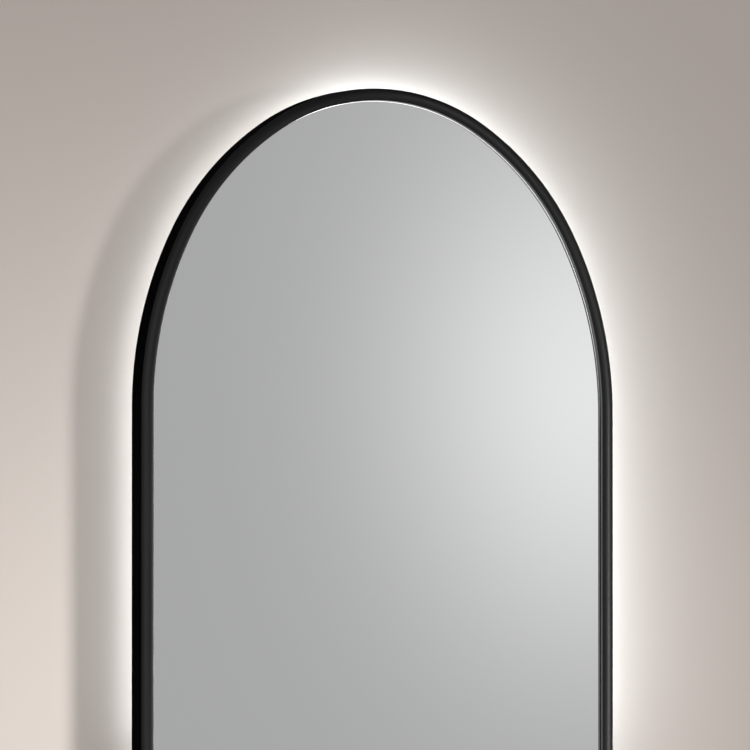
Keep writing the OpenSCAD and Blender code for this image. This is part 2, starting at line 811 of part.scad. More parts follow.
function pole_y(pole) = block_low + pole_wall / 2 + (pole + 0.5) * pole_pitch;

module terminal_block() {
  bay_w = pole_pitch - pole_wall;
  bay_d = barrel_d / 2 + swing_gap;
  entry_d = 3;
  entry_l = 8;
  entry_z = block_z + bay_d + 0.8 + entry_d / 2;
  color("#e9e6dc") stand() difference() {
    translate([block_left, block_low, block_z]) cube([block_l, block_w, block_d]);
    for (pole = [0 : poles - 1]) {
      low = pole_y(pole) - bay_w / 2;
      translate([lever_x - barrel_d / 2 - swing_gap, low, block_z - overcut])
        cube([barrel_d / 2 + swing_gap + lever_l + 2 * swing_gap, bay_w, bay_d + overcut]);
      along_y(lever_x, low, lever_z) cylinder(h = bay_w, d = barrel_d + 2 * swing_gap, $fn = 48);
      along_x(block_left - overcut, pole_y(pole), entry_z) cylinder(h = entry_l, d = entry_d, $fn = 32);
    }
    along_y(lever_x, block_low - overcut, lever_z)
      cylinder(h = block_w + 2 * overcut, d = lever_pin_d + 2 * running, $fn = 48);
  }
}

module lever_pin() {
  color(steel) stand() along_y(lever_x, block_low, lever_z) cylinder(h = block_w, d = lever_pin_d, $fn = 48);
}

module lever(pole) {
  low = pole_y(pole) - lever_w / 2;
  blade_t = barrel_d / 2;
  color("#e2732a") stand() difference() {
    union() {
      along_y(lever_x, low, lever_z) cylinder(h = lever_w, d = barrel_d, $fn = 48);
      translate([lever_x, low, block_z]) cube([lever_l, lever_w, blade_t]);
    }
    along_y(lever_x, low - overcut, lever_z)
      cylinder(h = lever_w + 2 * overcut, d = lever_pin_d + 2 * running, $fn = 48);
  }
}

module lever_live() { lever(0); }
module lever_neutral() { lever(1); }
module lever_earth() { lever(2); }

// Cable gland in the lower wall of the box, which grips the mains cable from the wall
thread_d = 12;
hex_w = 16;
gland_in = 16;
gland_x = box_left + gland_in;
gland_z = (rim_z + box_floor) / 2;
flange_t = 3;
nut_t = 4;
seal_l = 8;
seal_wall = 1.4;
cap_end = 2;
gland_out = flange_t + seal_l;

module hexagon(h) {
  cylinder(h = h, d = hex_w / cos(30), $fn = 6);
}

module gland_part(low) {
  along_y(gland_x, box_low + low, gland_z) children();
}

module gland_body() {
  inner_l = box_t + nut_t + 1;
  color("#2a2a2c") stand() difference() {
    union() {
      gland_part(-gland_out) cylinder(h = gland_out + inner_l, d = thread_d);
      gland_part(-flange_t) hexagon(flange_t);
    }
    gland_part(-gland_out - overcut) cylinder(h = gland_out + inner_l + 2 * overcut, d = cable_d + 0.6);
    gland_part(-gland_out - overcut)
      cylinder(h = seal_l + overcut, d = cable_d + 2 * (seal_wall + fit));
  }
}

module gland_locknut() {
  color("#2a2a2c") stand() difference() {
    gland_part(box_t) hexagon(nut_t);
    gland_part(box_t - overcut) cylinder(h = nut_t + 2 * overcut, d = thread_d + 2 * fit);
  }
}

module gland_seal() {
  color("#4a4a4a") stand() difference() {
    gland_part(-gland_out) cylinder(h = seal_l, d = cable_d + 2 * seal_wall);
    gland_part(-gland_out - overcut) cylinder(h = seal_l + 2 * overcut, d = cable_d);
  }
}

module gland_cap() {
  cap_l = cap_end + seal_l - 1;
  color("#2a2a2c") stand() difference() {
    gland_part(-gland_out - cap_end) hexagon(cap_l);
    gland_part(-gland_out) cylinder(h = cap_l + overcut, d = thread_d + 2 * fit);
    gland_part(-gland_out - cap_end - overcut) cylinder(h = cap_end + 2 * overcut, d = cable_d + 0.6);
  }
}

// Leads that the mirror holds: each runs from one fitting to the next, a little off the plate
mains_in = 18;
mains_x = box_right - mains_in;
mains_bend = min(2.4 * mains_d, mains_x - block_right - 1);
mains_y = pole_y(0) + 0.6;
demister_y = pole_y(1) + 0.6;
earth_y = pole_y(2);
led_lead_x = led_hole_x;
led_lead_turn = inset_bottom(light_inset) + 50;
led_lead_low = inset_bottom(light_inset) + 24;
tag_l = 14;
tag_t = 0.8;
crimp_h = 3;

module mains_lead() {
  route = rounded_route([
    [block_right, mains_y, lead_z], [mains_x, mains_y, lead_z],
    [mains_x, driver_y, lead_z], [driver_x - board_end, driver_y, lead_z]
  ], mains_bend);
  color("#f2f2f2") stand() tube(route, mains_d, 10);
}

module led_lead() {
  route = rounded_route([
    [driver_x + board_end, driver_y, lead_z], [led_lead_x, driver_y, lead_z],
    [led_lead_x, led_lead_turn, lead_z], [led_lead_x, led_lead_low, groove_z],
    [led_lead_x, inset_bottom(light_inset), groove_z]
  ], 3.2 * lead_d);
  color("#f2f2f2") stand() tube(route, lead_d);
}

module demister_lead() {
  pad_back = film_z - pad_t;
  route = rounded_route([
    [block_right, demister_y, lead_z], [grommet_x, demister_y, lead_z], [grommet_x, demister_y, pad_back]
  ], 1.3 * lead_d);
  color("#f2f2f2") stand() tube(route, lead_d);
}

module earth_lead() {
  route = rounded_route([
    [block_right, earth_y, lead_z], [stud_x, earth_y, lead_z], [stud_x, box_high + 3, lead_z],
    [stud_x, stud_y - tag_l - 4, plate_z - crimp_h / 2], [stud_x, stud_y - tag_l, plate_z - crimp_h / 2]
  ], 1.3 * lead_d);
  color("#7fb04a") stand() tube(route, lead_d);
}

module clip(x, y, d, turn) {
  length = 7;
  wall = 1.4;
  width = d + 2 * wall;
  low = lead_z - d / 2 - wall;
  translate([x, y, 0]) rotate([0, 0, turn]) difference() {
    translate([-width / 2, -length / 2, low]) cube([width, length, plate_z - low]);
    along_y(0, -length / 2 - overcut, lead_z) cylinder(h = length + 2 * overcut, d = d + 2 * fit, $fn = 32);
  }
}

module lead_clips() {
  run = driver_y - box_low;
  color("#dcdcd8") stand() {
    for (share = [0.3, 0.7]) clip(mains_x, box_low + share * run, mains_d, 0);
    clip((driver_x + driver_l / 2 + led_lead_x) / 2, driver_y, lead_d, 90);
    clip(led_lead_x, (driver_y + led_lead_turn) / 2 - 5, lead_d, 0);
    clip((box_right + grommet_x) / 2, demister_y, lead_d, 90);
  }
}

module plate_grommet() {
  lip_t = 1;
  lip_d = grommet_hole_d + 4;
  color("#2b2b2b") stand() translate([grommet_x, demister_y, 0]) difference() {
    union() {
      translate([0, 0, plate_z - lip_t]) cylinder(h = lip_t, d = lip_d);
      translate([0, 0, plate_z]) cylinder(h = plate_t, d = grommet_hole_d - 2 * fit);
      translate([0, 0, plate_front]) cylinder(h = lip_t, d = lip_d);
    }
    translate([0, 0, plate_z - lip_t - overcut])
      cylinder(h = plate_t + 2 * (lip_t + overcut), d = lead_d + 2 * fit);
  }
}

// Earth stud on the plate, with the nut and the tag of the earth lead
nut_h = 3.2;
stud_l = plate_t + tag_t + nut_h + 2;

module earth_stud() {
  head_t = 1.2;
  color(steel) stand() translate([stud_x, stud_y, 0]) union() {
    translate([0, 0, plate_front - stud_l]) cylinder(h = stud_l, d = big_screw_d, $fn = 32);
    translate([0, 0, plate_front]) cylinder(h = head_t, d = 2 * big_screw_d, $fn = 48);
  }
}

module earth_tag() {
  tag_w = 2 * big_screw_d;
  crimp_w = 4.4;
  crimp_l = 5;
  color("#c9a15a") stand() translate([stud_x, stud_y, 0]) difference() {
    union() {
      translate([0, 0, plate_z - tag_t]) cylinder(h = tag_t, d = tag_w, $fn = 48);
      translate([-crimp_w / 2, -tag_l, plate_z - tag_t]) cube([crimp_w, tag_l, tag_t]);
      translate([-crimp_w / 2, -tag_l, plate_z - crimp_h]) cube([crimp_w, crimp_l, crimp_h]);
    }
    translate([0, 0, plate_z - tag_t - overcut])
      cylinder(h = tag_t + 2 * overcut, d = big_screw_d + 2 * fit, $fn = 32);
  }
}

module earth_nut() {
  nut_w = 1.75 * big_screw_d;
  color(steel) stand() translate([stud_x, stud_y, plate_z - tag_t - nut_h]) difference() {
    cylinder(h = nut_h, d = nut_w / cos(30), $fn = 6);
    translate([0, 0, -overcut]) cylinder(h = nut_h + 2 * overcut, d = big_screw_d + 2 * fit, $fn = 32);
  }
}

wall_rail();
hang_bracket();
bracket_screws();
frame_arch();
frame_bottom();
corner_keys();
corner_screws();
mirror_glass();
safety_film();
glass_tape();
demister_pad();
backing_plate();
plate_screws();
light_carrier_arch();
light_carrier_bottom();
carrier_screws();
led_strip();
led_chips();
diffuser_arch();
diffuser_bottom();
wall_bumpers();
driver_case();
driver_cover();
driver_board();
driver_transformer();
driver_capacitors();
driver_screws();
junction_box();
junction_lid();
lid_pin();
box_screws();
terminal_block();
lever_pin();
lever_live();
lever_neutral();
lever_earth();
gland_body();
gland_locknut();
gland_seal();
gland_cap();
mains_lead();
led_lead();
demister_lead();
earth_lead();
lead_clips();
plate_grommet();
earth_stud();
earth_nut();
earth_tag();
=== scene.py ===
import json
import math

import bmesh
import bpy
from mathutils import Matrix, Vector


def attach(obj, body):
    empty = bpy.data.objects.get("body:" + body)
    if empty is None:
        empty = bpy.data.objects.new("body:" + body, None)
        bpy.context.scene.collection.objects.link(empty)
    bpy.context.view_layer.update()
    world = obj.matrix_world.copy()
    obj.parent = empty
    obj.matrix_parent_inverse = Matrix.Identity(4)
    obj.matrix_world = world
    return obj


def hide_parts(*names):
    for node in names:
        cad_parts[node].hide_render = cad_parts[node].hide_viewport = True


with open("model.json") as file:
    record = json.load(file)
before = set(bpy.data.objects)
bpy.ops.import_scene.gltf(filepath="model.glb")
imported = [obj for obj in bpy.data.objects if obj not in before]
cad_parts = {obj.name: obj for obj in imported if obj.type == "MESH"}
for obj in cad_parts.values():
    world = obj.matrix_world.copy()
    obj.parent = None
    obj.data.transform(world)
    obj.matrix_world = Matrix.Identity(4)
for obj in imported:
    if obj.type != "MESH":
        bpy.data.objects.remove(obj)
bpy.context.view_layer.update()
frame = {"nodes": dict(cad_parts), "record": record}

scene = bpy.context.scene
scene.view_settings.view_transform = "Standard"
mm = 0.001
print("frame loaded:", len(frame["nodes"]), "nodes")


# Camera

cameraSizes = {
    "azimuth": -20.0,        # degrees, from the mirror's left
    "elevation": -2.5,       # a little below the middle
    "distance": 20.826,      # metres
    "lens": 1000.0,          # millimetres, as the sensor
    "sensor": 36.0,
    "clip": (0.5, 60.0),
    "target": (0.01365, 0.0, -0.0741),
}


def makeCamera(s):
    turn, lift = math.radians(s["azimuth"]), math.radians(s["elevation"])
    back = Vector((math.sin(turn) * math.cos(lift), -math.cos(turn) * math.cos(lift), math.sin(lift)))
    data = bpy.data.cameras.new("photoCamera")
    data.lens, data.sensor_width = s["lens"], s["sensor"]
    data.clip_start, data.clip_end = s["clip"]
    camera = bpy.data.objects.new("photoCamera", data)
    camera.location = Vector(s["target"]) + back * s["distance"]
    camera.rotation_mode = "QUATERNION"
    camera.rotation_quaternion = (-back).to_track_quat("-Z", "Y")
    scene.collection.objects.link(camera)
    scene.camera = camera


makeCamera(cameraSizes)


# Node helpers

class Wire:
    # one output socket, so that sums of masks and noises read as sums
    def __init__(self, graph, socket):
        self.graph, self.socket = graph, socket

    def math(self, operation, first, second=None):
        values = {0: first} if second is None else {0: first, 1: second}
        return self.graph.node("ShaderNodeMath", {"operation": operation}, values)

    def __add__(self, other):
        return self.math("ADD", self, other)

    def __radd__(self, other):
        return self.math("ADD", other, self)

    def __sub__(self, other):
        return self.math("SUBTRACT", self, other)

    def __rsub__(self, other):
        return self.math("SUBTRACT", other, self)

    def __mul__(self, other):
        return self.math("MULTIPLY", self, other)

    def __rmul__(self, other):
        return self.math("MULTIPLY", other, self)

    def __truediv__(self, other):
        return self.math("DIVIDE", self, other)

    def __mod__(self, other):
        return self.math("FLOORED_MODULO", self, other)

    def floor(self):
        return self.math("FLOOR", self)


class Graph:
    def __init__(self, tree):
        self.tree = tree

    def node(self, kind, settings=None, sockets=None, out=0):
        made = self.tree.nodes.new(kind)
        for name, value in (settings or {}).items():
            setattr(made, name, value)
        for name, value in (sockets or {}).items():
            self.put(made.inputs[name], value)
        return Wire(self, made.outputs[out])

    def put(self, socket, value):
        if isinstance(value, Wire):
            self.tree.links.new(value.socket, socket)
        elif value is not None:
            socket.default_value = value

    def parts(self, vector):
        # the three numbers of a vector
        split = self.node("ShaderNodeSeparateXYZ", None, {0: vector})
        return [Wire(self, socket) for socket in split.socket.node.outputs]

    def scaled(self, vector, factor):
        return self.node("ShaderNodeVectorMath", {"operation": "SCALE"}, {0: vector, "Scale": factor})

    def added(self, first, second):
        return self.node("ShaderNodeVectorMath", {"operation": "ADD"}, {0: first, 1: second})

    def spread(self, value, low, high, toLow=0.0, toHigh=1.0):
        # a soft step from toLow to toHigh as the value goes from low to high
        ends = {"Value": value, "From Min": low, "From Max": high, "To Min": toLow, "To Max": toHigh}
        return self.node("ShaderNodeMapRange", {"interpolation_type": "SMOOTHSTEP"}, ends)


class Finish(Graph):
    # a material with one Principled shader
    def __init__(self, name):
        self.material = bpy.data.materials.new(name)
        self.material.use_nodes = True
        super().__init__(self.material.node_tree)
        self.shader = self.tree.nodes["Principled BSDF"]
        self.place = self.node("ShaderNodeTexCoord", out="Object")

    def noise(self, scale, detail=3.0, roughness=0.5, at=None, stretch=None, out="Fac"):
        place = at or self.place
        if stretch:
            place = self.node("ShaderNodeMapping", None, {"Vector": place, "Scale": stretch})
        return self.node("ShaderNodeTexNoise", None,
                         {"Vector": place, "Scale": scale, "Detail": detail, "Roughness": roughness}, out)

    def cells(self, scale, feature="F1", out="Distance", at=None, randomness=1.0):
        return self.node("ShaderNodeTexVoronoi", {"feature": feature},
                         {"Vector": at or self.place, "Scale": scale, "Randomness": randomness}, out)

    def blend(self, mask, dark, light):
        # sockets 6 and 7 are the node's two colours
        mixed = self.node("ShaderNodeMix", {"data_type": "RGBA"}, {"Factor": mask}, out=2)
        for place, colour in ((6, dark), (7, light)):
            self.put(mixed.socket.node.inputs[place],
                     colour if isinstance(colour, Wire) else (*colour, 1))
        return mixed

    def bump(self, height, strength, distance):
        return self.node("ShaderNodeBump", None,
                         {"Height": height, "Strength": strength, "Distance": distance}, "Normal")

    def set(self, **sockets):
        for name, value in sockets.items():
            socket = self.shader.inputs[name.replace("_", " ")]
            if isinstance(value, tuple) and len(value) == 3 and socket.type == "RGBA":
                value = (*value, 1)
            self.put(socket, value)
        return self.material

    def show(self, shader):
        # another shader in place of the Principled one
        self.tree.links.new(shader.socket, self.tree.nodes["Material Output"].inputs["Surface"])
        return self.material


# Finishes

def powderCoat(name, dark, light, rough, sheen):
    f = Finish(name)
    peel = f.noise(620, 2.0, 0.45)
    grain = f.noise(2600, 1.0, 0.5)
    cloud = f.noise(7, 3.0)
    return f.set(Base_Color=f.blend(f.spread(cloud, 0.35, 0.7), dark, light), Specular_IOR_Level=sheen,
                 Roughness=f.spread(peel * 0.5 + cloud * 0.5, 0.3, 0.7, rough - 0.04, rough + 0.05),
                 Normal=f.bump(peel * 0.7 + grain * 0.3, 0.16, 0.00012))


def silvering():
    f = Finish("mirrorSilver")
    haze = f.noise(5, 4.0, 0.6)
    return f.set(Base_Color=(0.885, 0.893, 0.89), Metallic=1.0,
                 Roughness=f.spread(haze, 0.45, 0.75, 0.006, 0.03))


# a painted highlight along the glass's ground edge
edgePaintedHighlight = {
    "lean": 0.35,            # how much lower the painted highlight starts towards the right
    "rise": (-0.06, 0.13),   # where it starts and is full, upwards
    "left": (-0.22, -0.15),  # and from the left
    "strength": 2.4,
}


def groundGlass(s):
    # the ground edge glows as a painted highlight, brightest round the top of the arch and fading out on
    # the left
    f = Finish("groundGlassEdge")
    grind = f.noise(900, 3.0, 0.6)
    across, _, high = f.parts(f.place)
    paintedGlint = f.spread(high + across * s["lean"], *s["rise"]) * f.spread(across, *s["left"])
    return f.set(Base_Color=f.blend(grind, (0.82, 0.85, 0.84), (0.92, 0.94, 0.93)),
                 Roughness=f.spread(grind, 0.3, 0.7, 0.25, 0.45), Normal=f.bump(grind, 0.2, 0.0001),
                 Emission_Color=f.blend(paintedGlint, (0,) * 3, (1,) * 3),
                 Emission_Strength=s["strength"])


def glassBack():
    f = Finish("glassBackPaint")
    coat = f.noise(300, 3.0)
    return f.set(Base_Color=f.blend(coat, (0.16, 0.17, 0.18), (0.21, 0.22, 0.23)), Roughness=0.55)


def zincSheet():
    f = Finish("galvanisedSheet")
    warped = f.added(f.place, f.scaled(f.noise(60, 2.0, out="Color"), 0.006))
    spangle = f.cells(95, out="Color", at=warped)
    tone = f.node("ShaderNodeSeparateColor", None, {0: spangle})
    fine = f.noise(800, 3.0)
    mask = tone * 0.75 + fine * 0.25
    return f.set(Base_Color=f.blend(mask, (0.50, 0.515, 0.53), (0.70, 0.71, 0.715)), Metallic=1.0,
                 Roughness=f.spread(mask, 0.1, 0.9, 0.34, 0.52), Normal=f.bump(fine, 0.08, 0.0001))


def drawnAluminium():
    f = Finish("drawnAluminium")
    band = f.node("ShaderNodeAttribute", {"attribute_name": "band"}, out="Vector")
    lines = f.noise(1.0, 3.0, 0.6, at=band, stretch=(12, 5200, 1))
    cloud = f.noise(14, 3.0)
    return f.set(Base_Color=f.blend(lines, (0.66, 0.67, 0.68), (0.80, 0.81, 0.82)), Metallic=1.0,
                 Roughness=f.spread(lines * 0.7 + cloud * 0.3, 0.3, 0.7, 0.28, 0.42),
                 Normal=f.bump(lines, 0.12, 0.0001))


def castAluminium():
    f = Finish("castAluminium")
    grain = f.noise(700, 4.0, 0.65)
    return f.set(Base_Color=f.blend(grain, (0.58, 0.59, 0.6), (0.72, 0.73, 0.74)), Metallic=1.0,
                 Roughness=f.spread(grain, 0.3, 0.7, 0.4, 0.55), Normal=f.bump(grain, 0.25, 0.0002))


def plainMetal(name, dark, light, rough):
    f = Finish(name)
    grain = f.noise(420, 4.0, 0.6)
    return f.set(Base_Color=f.blend(grain, dark, light), Metallic=1.0,
                 Roughness=f.spread(grain, 0.3, 0.7, rough - 0.06, rough + 0.08),
                 Normal=f.bump(grain, 0.08, 0.0001))


def mouldedPlastic(name, dark, light, rough, scale=900, depth=0.15, coat=0.0):
    f = Finish(name)
    spark = f.noise(scale, 2.0, 0.5)
    cloud = f.noise(25, 3.0)
    return f.set(Base_Color=f.blend(cloud * 0.6 + spark * 0.4, dark, light),
                 Roughness=f.spread(spark, 0.3, 0.7, rough - 0.05, rough + 0.06),
                 Coat_Weight=coat, Normal=f.bump(spark, depth, 0.00012))


def litOpal(s):
    # the photograph's halo is weaker round the left half than round the right
    f = Finish("litOpalCover")
    across = f.parts(f.place)[0] + (f.noise(40, 2.0) - 0.5) * 0.01
    return f.set(Base_Color=(0.93, 0.93, 0.9), Roughness=0.5,
                 Emission_Color=f.blend(f.spread(across, *s["glowTurn"]), s["glowLeft"], s["glowRight"]),
                 Emission_Strength=s["glow"])


def copperFilm():
    f = Finish("demisterFilm")
    wave = (f.parts(f.place)[0] * 90.0) % 1.0      # 90 tracks to a metre
    track = f.spread(wave, 0.28, 0.34) - f.spread(wave, 0.66, 0.72)
    grain = f.noise(500, 3.0)
    return f.set(Base_Color=f.blend(track, (0.5, 0.42, 0.3), (0.68, 0.34, 0.16)),
                 Metallic=track * 0.8, Roughness=f.spread(grain, 0.3, 0.7, 0.3, 0.45),
                 Normal=f.bump(track, 0.3, 0.0001))


def boardMask():
    f = Finish("greenBoard")
    tracks = f.cells(180, "DISTANCE_TO_EDGE", randomness=0.7)
    line = f.spread(tracks, 0.02, 0.07)
    return f.set(Base_Color=f.blend(line, (0.05, 0.21, 0.1), (0.025, 0.12, 0.055)),
                 Roughness=f.spread(f.noise(400), 0.3, 0.7, 0.3, 0.42), Normal=f.bump(line, 0.2, 0.0001))


finishes = {
    "frame_black": powderCoat("satinBlackCoat", (0.0085, 0.0085, 0.009), (0.0108, 0.0108, 0.0114),
                              0.37, 0.17),
    "mirror_glass": silvering(),
    "zinc_steel": zincSheet(),
    "carrier_aluminium": drawnAluminium(),
    "key_aluminium": castAluminium(),
    "screw_steel": plainMetal("zincPlatedScrew", (0.52, 0.53, 0.55), (0.68, 0.69, 0.7), 0.3),
    "pin_steel": plainMetal("brightSteelPin", (0.55, 0.55, 0.56), (0.7, 0.7, 0.71), 0.24),
    "tag_brass": plainMetal("stampedBrass", (0.6, 0.44, 0.18), (0.78, 0.6, 0.28), 0.3),
    "ferrite": mouldedPlastic("sinteredFerrite", (0.05, 0.048, 0.046), (0.085, 0.08, 0.075), 0.7, 500,
                              0.3),
    "safety_film": mouldedPlastic("safetyFilm", (0.26, 0.28, 0.30), (0.34, 0.36, 0.38), 0.45, 300, 0.1),
    "foam_tape": mouldedPlastic("foamTape", (0.02,) * 3, (0.045,) * 3, 0.85, 1500, 0.5),
    "demister_pad": copperFilm(),
    "strip_white": mouldedPlastic("stripWhite", (0.84, 0.84, 0.81), (0.92, 0.92, 0.9), 0.4),
    "led_phosphor": mouldedPlastic("ledPhosphor", (0.88, 0.76, 0.32), (0.95, 0.86, 0.45), 0.3, coat=0.4),
    "opal_diffuser": mouldedPlastic("opalCover", (0.88, 0.88, 0.85), (0.93, 0.93, 0.9), 0.45),
    "bumper_rubber": mouldedPlastic("bumperRubber", (0.02,) * 3, (0.05,) * 3, 0.78, 1100, 0.35),
    "driver_white": mouldedPlastic("driverWhite", (0.74, 0.74, 0.72), (0.82, 0.82, 0.8), 0.45, 1300, 0.35),
    "board_green": boardMask(),
    "capacitor_sleeve": mouldedPlastic("capacitorSleeve", (0.03, 0.06, 0.16), (0.06, 0.1, 0.24), 0.3,
                                       coat=0.3),
    "box_white": mouldedPlastic("boxWhite", (0.8, 0.8, 0.775), (0.87, 0.87, 0.85), 0.48, 1200, 0.3),
    "terminal_cream": mouldedPlastic("terminalCream", (0.74, 0.72, 0.63), (0.84, 0.82, 0.74), 0.4),
    "lever_orange": mouldedPlastic("leverOrange", (0.78, 0.22, 0.03), (0.88, 0.31, 0.06), 0.32, coat=0.2),
    "gland_black": mouldedPlastic("glandNylon", (0.022, 0.022, 0.024), (0.04, 0.04, 0.042), 0.42, 1400,
                                  0.3),
    "seal_rubber": mouldedPlastic("sealRubber", (0.035,) * 3, (0.06,) * 3, 0.7),
    "lead_white": mouldedPlastic("leadWhite", (0.78, 0.78, 0.76), (0.87, 0.87, 0.86), 0.42, 700, 0.1),
    "lead_green": mouldedPlastic("leadGreen", (0.22, 0.42, 0.05), (0.34, 0.55, 0.1), 0.42, 700, 0.1),
    "clip_nylon": mouldedPlastic("clipNylon", (0.7, 0.7, 0.66), (0.8, 0.8, 0.77), 0.4),
}
# the outer wall's coat: no sheen, and a darker black than the face as painted shade
sideCoatPaintedShade = powderCoat("mattBlackSide", (0.0022, 0.0022, 0.0024), (0.0032, 0.0032, 0.0034), 0.6, 0.0)
groundEdge, backPaint = groundGlass(edgePaintedHighlight), glassBack()
print("finishes made:", len(finishes))


# Shared making

copySizes = {
    "weld": 1e-6,            # metres
    "flatAngle": 0.5,        # degrees: faces that meet flatter than this become one
    "edgeAngle": 35,         # and edges sharper than this are bevelled
    "softAngle": 40,
}

slotOf = {s["node"]: s["material_slot"] for s in frame["record"]["subparts"]}
bodyOf = {n: b for b, members in frame["record"]["behaviour"]["bodies"].items() for n in members}


def linked(name, mesh):
    piece = bpy.data.objects.new(name, mesh)
    scene.collection.objects.link(piece)
    return piece


def softShade(mesh, angle):
    mesh.shade_smooth()
    mesh.set_sharp_from_angle(angle=math.radians(angle))


def plainMesh(piece):
    # the evaluated shape as a plain mesh, with its modifiers dropped
    evaluated = piece.evaluated_get(bpy.context.evaluated_depsgraph_get())
    mesh = bpy.data.meshes.new_from_object(evaluated)
    piece.modifiers.clear()
    piece.data = mesh
    return mesh


def meshFrom(shape, mesh):
    # writes a bmesh into a mesh, or into a new one when given a name
    if isinstance(mesh, str):
        mesh = bpy.data.meshes.new(mesh)
    shape.to_mesh(mesh)
    shape.free()
    return mesh


def giveFinish(mesh, finish):
    mesh.materials.clear()
    mesh.materials.append(finish)
    mesh.polygons.foreach_set("material_index", [0] * len(mesh.polygons))


def standFor(piece, *nodes):
    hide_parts(*nodes)
    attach(piece, bodyOf[nodes[0]])


def bevelledCopy(node, label, width, segments, s):
    mesh = frame["nodes"][node].data.copy()
    shape = bmesh.new()
    shape.from_mesh(mesh)
    bmesh.ops.remove_doubles(shape, verts=shape.verts, dist=s["weld"])
    bmesh.ops.dissolve_limit(shape, angle_limit=math.radians(s["flatAngle"]), verts=shape.verts,
                             edges=shape.edges)
    piece = linked(label, meshFrom(shape, mesh))
    bevel = piece.modifiers.new("edges", "BEVEL")
    bevel.width, bevel.segments = width, segments
    bevel.limit_method, bevel.angle_limit = "ANGLE", math.radians(s["edgeAngle"])
    bevel.use_clamp_overlap = True
    mesh = plainMesh(piece)
    softShade(mesh, s["softAngle"])
    giveFinish(mesh, finishes[slotOf[node]])
    standFor(piece, node)


def islandBoxes(node):
    # the box of each separate solid of a node, lowest and highest corner
    shape = bmesh.new()
    shape.from_mesh(frame["nodes"][node].data)
    bmesh.ops.remove_doubles(shape, verts=shape.verts, dist=copySizes["weld"])
    left, boxes = set(shape.verts), []
    while left:
        front, found = [left.pop()], []
        while front:
            vert = front.pop()
            found.append(vert.co)
            for edge in vert.link_edges:
                other = edge.other_vert(vert)
                if other in left:
                    left.remove(other)
                    front.append(other)
        boxes.append((Vector([min(c[i] for c in found) for i in range(3)]),
                      Vector([max(c[i] for c in found) for i in range(3)])))
    shape.free()
    return sorted(boxes, key=lambda b: (round(b[0].x, 5), round(b[0].z, 5)))


# The arch, as stations along its outline

archSizes = {
    "halfWidth": 250 * mm,
    "sideHeight": 380 * mm,
    "rise": 320 * mm,
    "railHeight": 110 * mm,   # wall screws above the spring line
    "sideShare": 0.923,
    "crownShare": 0.953,
    "arcStep": 1.5,           # degrees between stations
    "legStep": 40 * mm,
    "legStart": 3,            # steps from the corner to a leg's first station
    "seam": 0.06 * mm,        # hairline at the mitred corners
    "weld": 0.002 * mm,
    "softAngle": 32,
}


def archCentres(s):
    half, rise = s["halfWidth"], s["rise"]
    side = Vector((-s["sideShare"] * (rise * rise / half - half), 0))
    crown = Vector((0, s["crownShare"] * (rise - half * half / rise)))
    sideR, crownR = half - side.x, rise - crown.y
    haunchR = math.sqrt(sideR * crownR)
    gap = (crown - side).length
    line = (crown - side) / gap
    foot = ((sideR - haunchR) ** 2 - (haunchR - crownR) ** 2 + gap ** 2) / (2 * gap)
    off = math.sqrt((sideR - haunchR) ** 2 - foot ** 2)
    haunch = side + foot * line + off * Vector((line.y, -line.x))
    sideEnd = math.atan2(haunch.y - side.y, haunch.x - side.x)
    crownStart = math.atan2(crown.y - haunch.y, crown.x - haunch.x)
    return [(side, sideR, sideEnd), (haunch, haunchR, crownStart), (crown, crownR, math.pi / 2)]


arcs = archCentres(archSizes)


def archPoint(angle):
    # a point of the outline, where it faces the angle, and the way inwards
    if angle > math.pi / 2:
        point, inward = archPoint(math.pi - angle)
        return Vector((-point.x, point.y)), Vector((-inward.x, inward.y))
    centre, radius, _ = next(a for a in arcs if angle <= a[2] + 1e-9)
    facing = Vector((math.cos(angle), math.sin(angle)))
    return centre + radius * facing, -facing


def archStations(s):
    half, low = s["halfWidth"], -s["sideHeight"]
    cuts = [0.0, arcs[0][2], arcs[1][2], math.pi / 2]
    right = []
    for start, end in zip(cuts, cuts[1:]):
        steps = math.ceil(math.degrees(end - start) / s["arcStep"])
        right += [start + (end - start) * i / steps for i in range(steps)]
    angles = right + [math.pi / 2] + [math.pi - a for a in reversed(right)]
    step, start = s["legStep"], s["legStart"]
    legs = [low + start * step + i * step for i in range(int((s["sideHeight"] - start * step) / step))]
    corner = low + s["seam"]
    stations = [(Vector((half, corner)), Vector((-1, 1)))]
    stations += [(Vector((half, y)), Vector((-1, 0))) for y in legs]
    stations += [archPoint(a) for a in angles]
    stations += [(Vector((-half, y)), Vector((1, 0))) for y in reversed(legs)]
    stations += [(Vector((-half, corner)), Vector((1, 1)))]
    return stations


def bottomStations(s):
    half, low = s["halfWidth"] - s["seam"], -s["sideHeight"]
    inner = [i * 2 * s["legStep"] for i in range(-2, 3)]
    return ([(Vector((-half, low)), Vector((1, 1)))] + [(Vector((x, low)), Vector((0, 1))) for x in inner]
            + [(Vector((half, low)), Vector((-1, 1)))])


def stationObject(name, stations):
    # one vertex for each station, with the way inwards and the length so far
    mesh = bpy.data.meshes.new(name)
    lift = archSizes["railHeight"]
    mesh.from_pydata([(p.x, 0, p.y - lift) for p, _ in stations], [], [])
    for title, kind in (("inward", "FLOAT_VECTOR"), ("along", "FLOAT")):
        mesh.attributes.new(title, kind, "POINT")
    inward, along = mesh.attributes["inward"], mesh.attributes["along"]
    total = 0.0
    for i, (point, way) in enumerate(stations):
        total += (point - stations[i - 1][0]).length if i else 0
        inward.data[i].vector = (way.x, 0, way.y)
        along.data[i].value = total
    return linked(name, mesh)


def profileObject(name, points):
    # a closed section: x is the inset from the outline, y the distance from the wall
    mesh = bpy.data.meshes.new(name)
    mesh.from_pydata([(i * mm, z * mm, 0) for i, z in points], [], [])
    across = mesh.attributes.new("across", "FLOAT", "POINT")
    total = 0.0
    for i, point in enumerate(points):
        total += math.dist(point, points[i - 1]) * mm if i else 0
        across.data[i].value = total
    return linked(name, mesh)


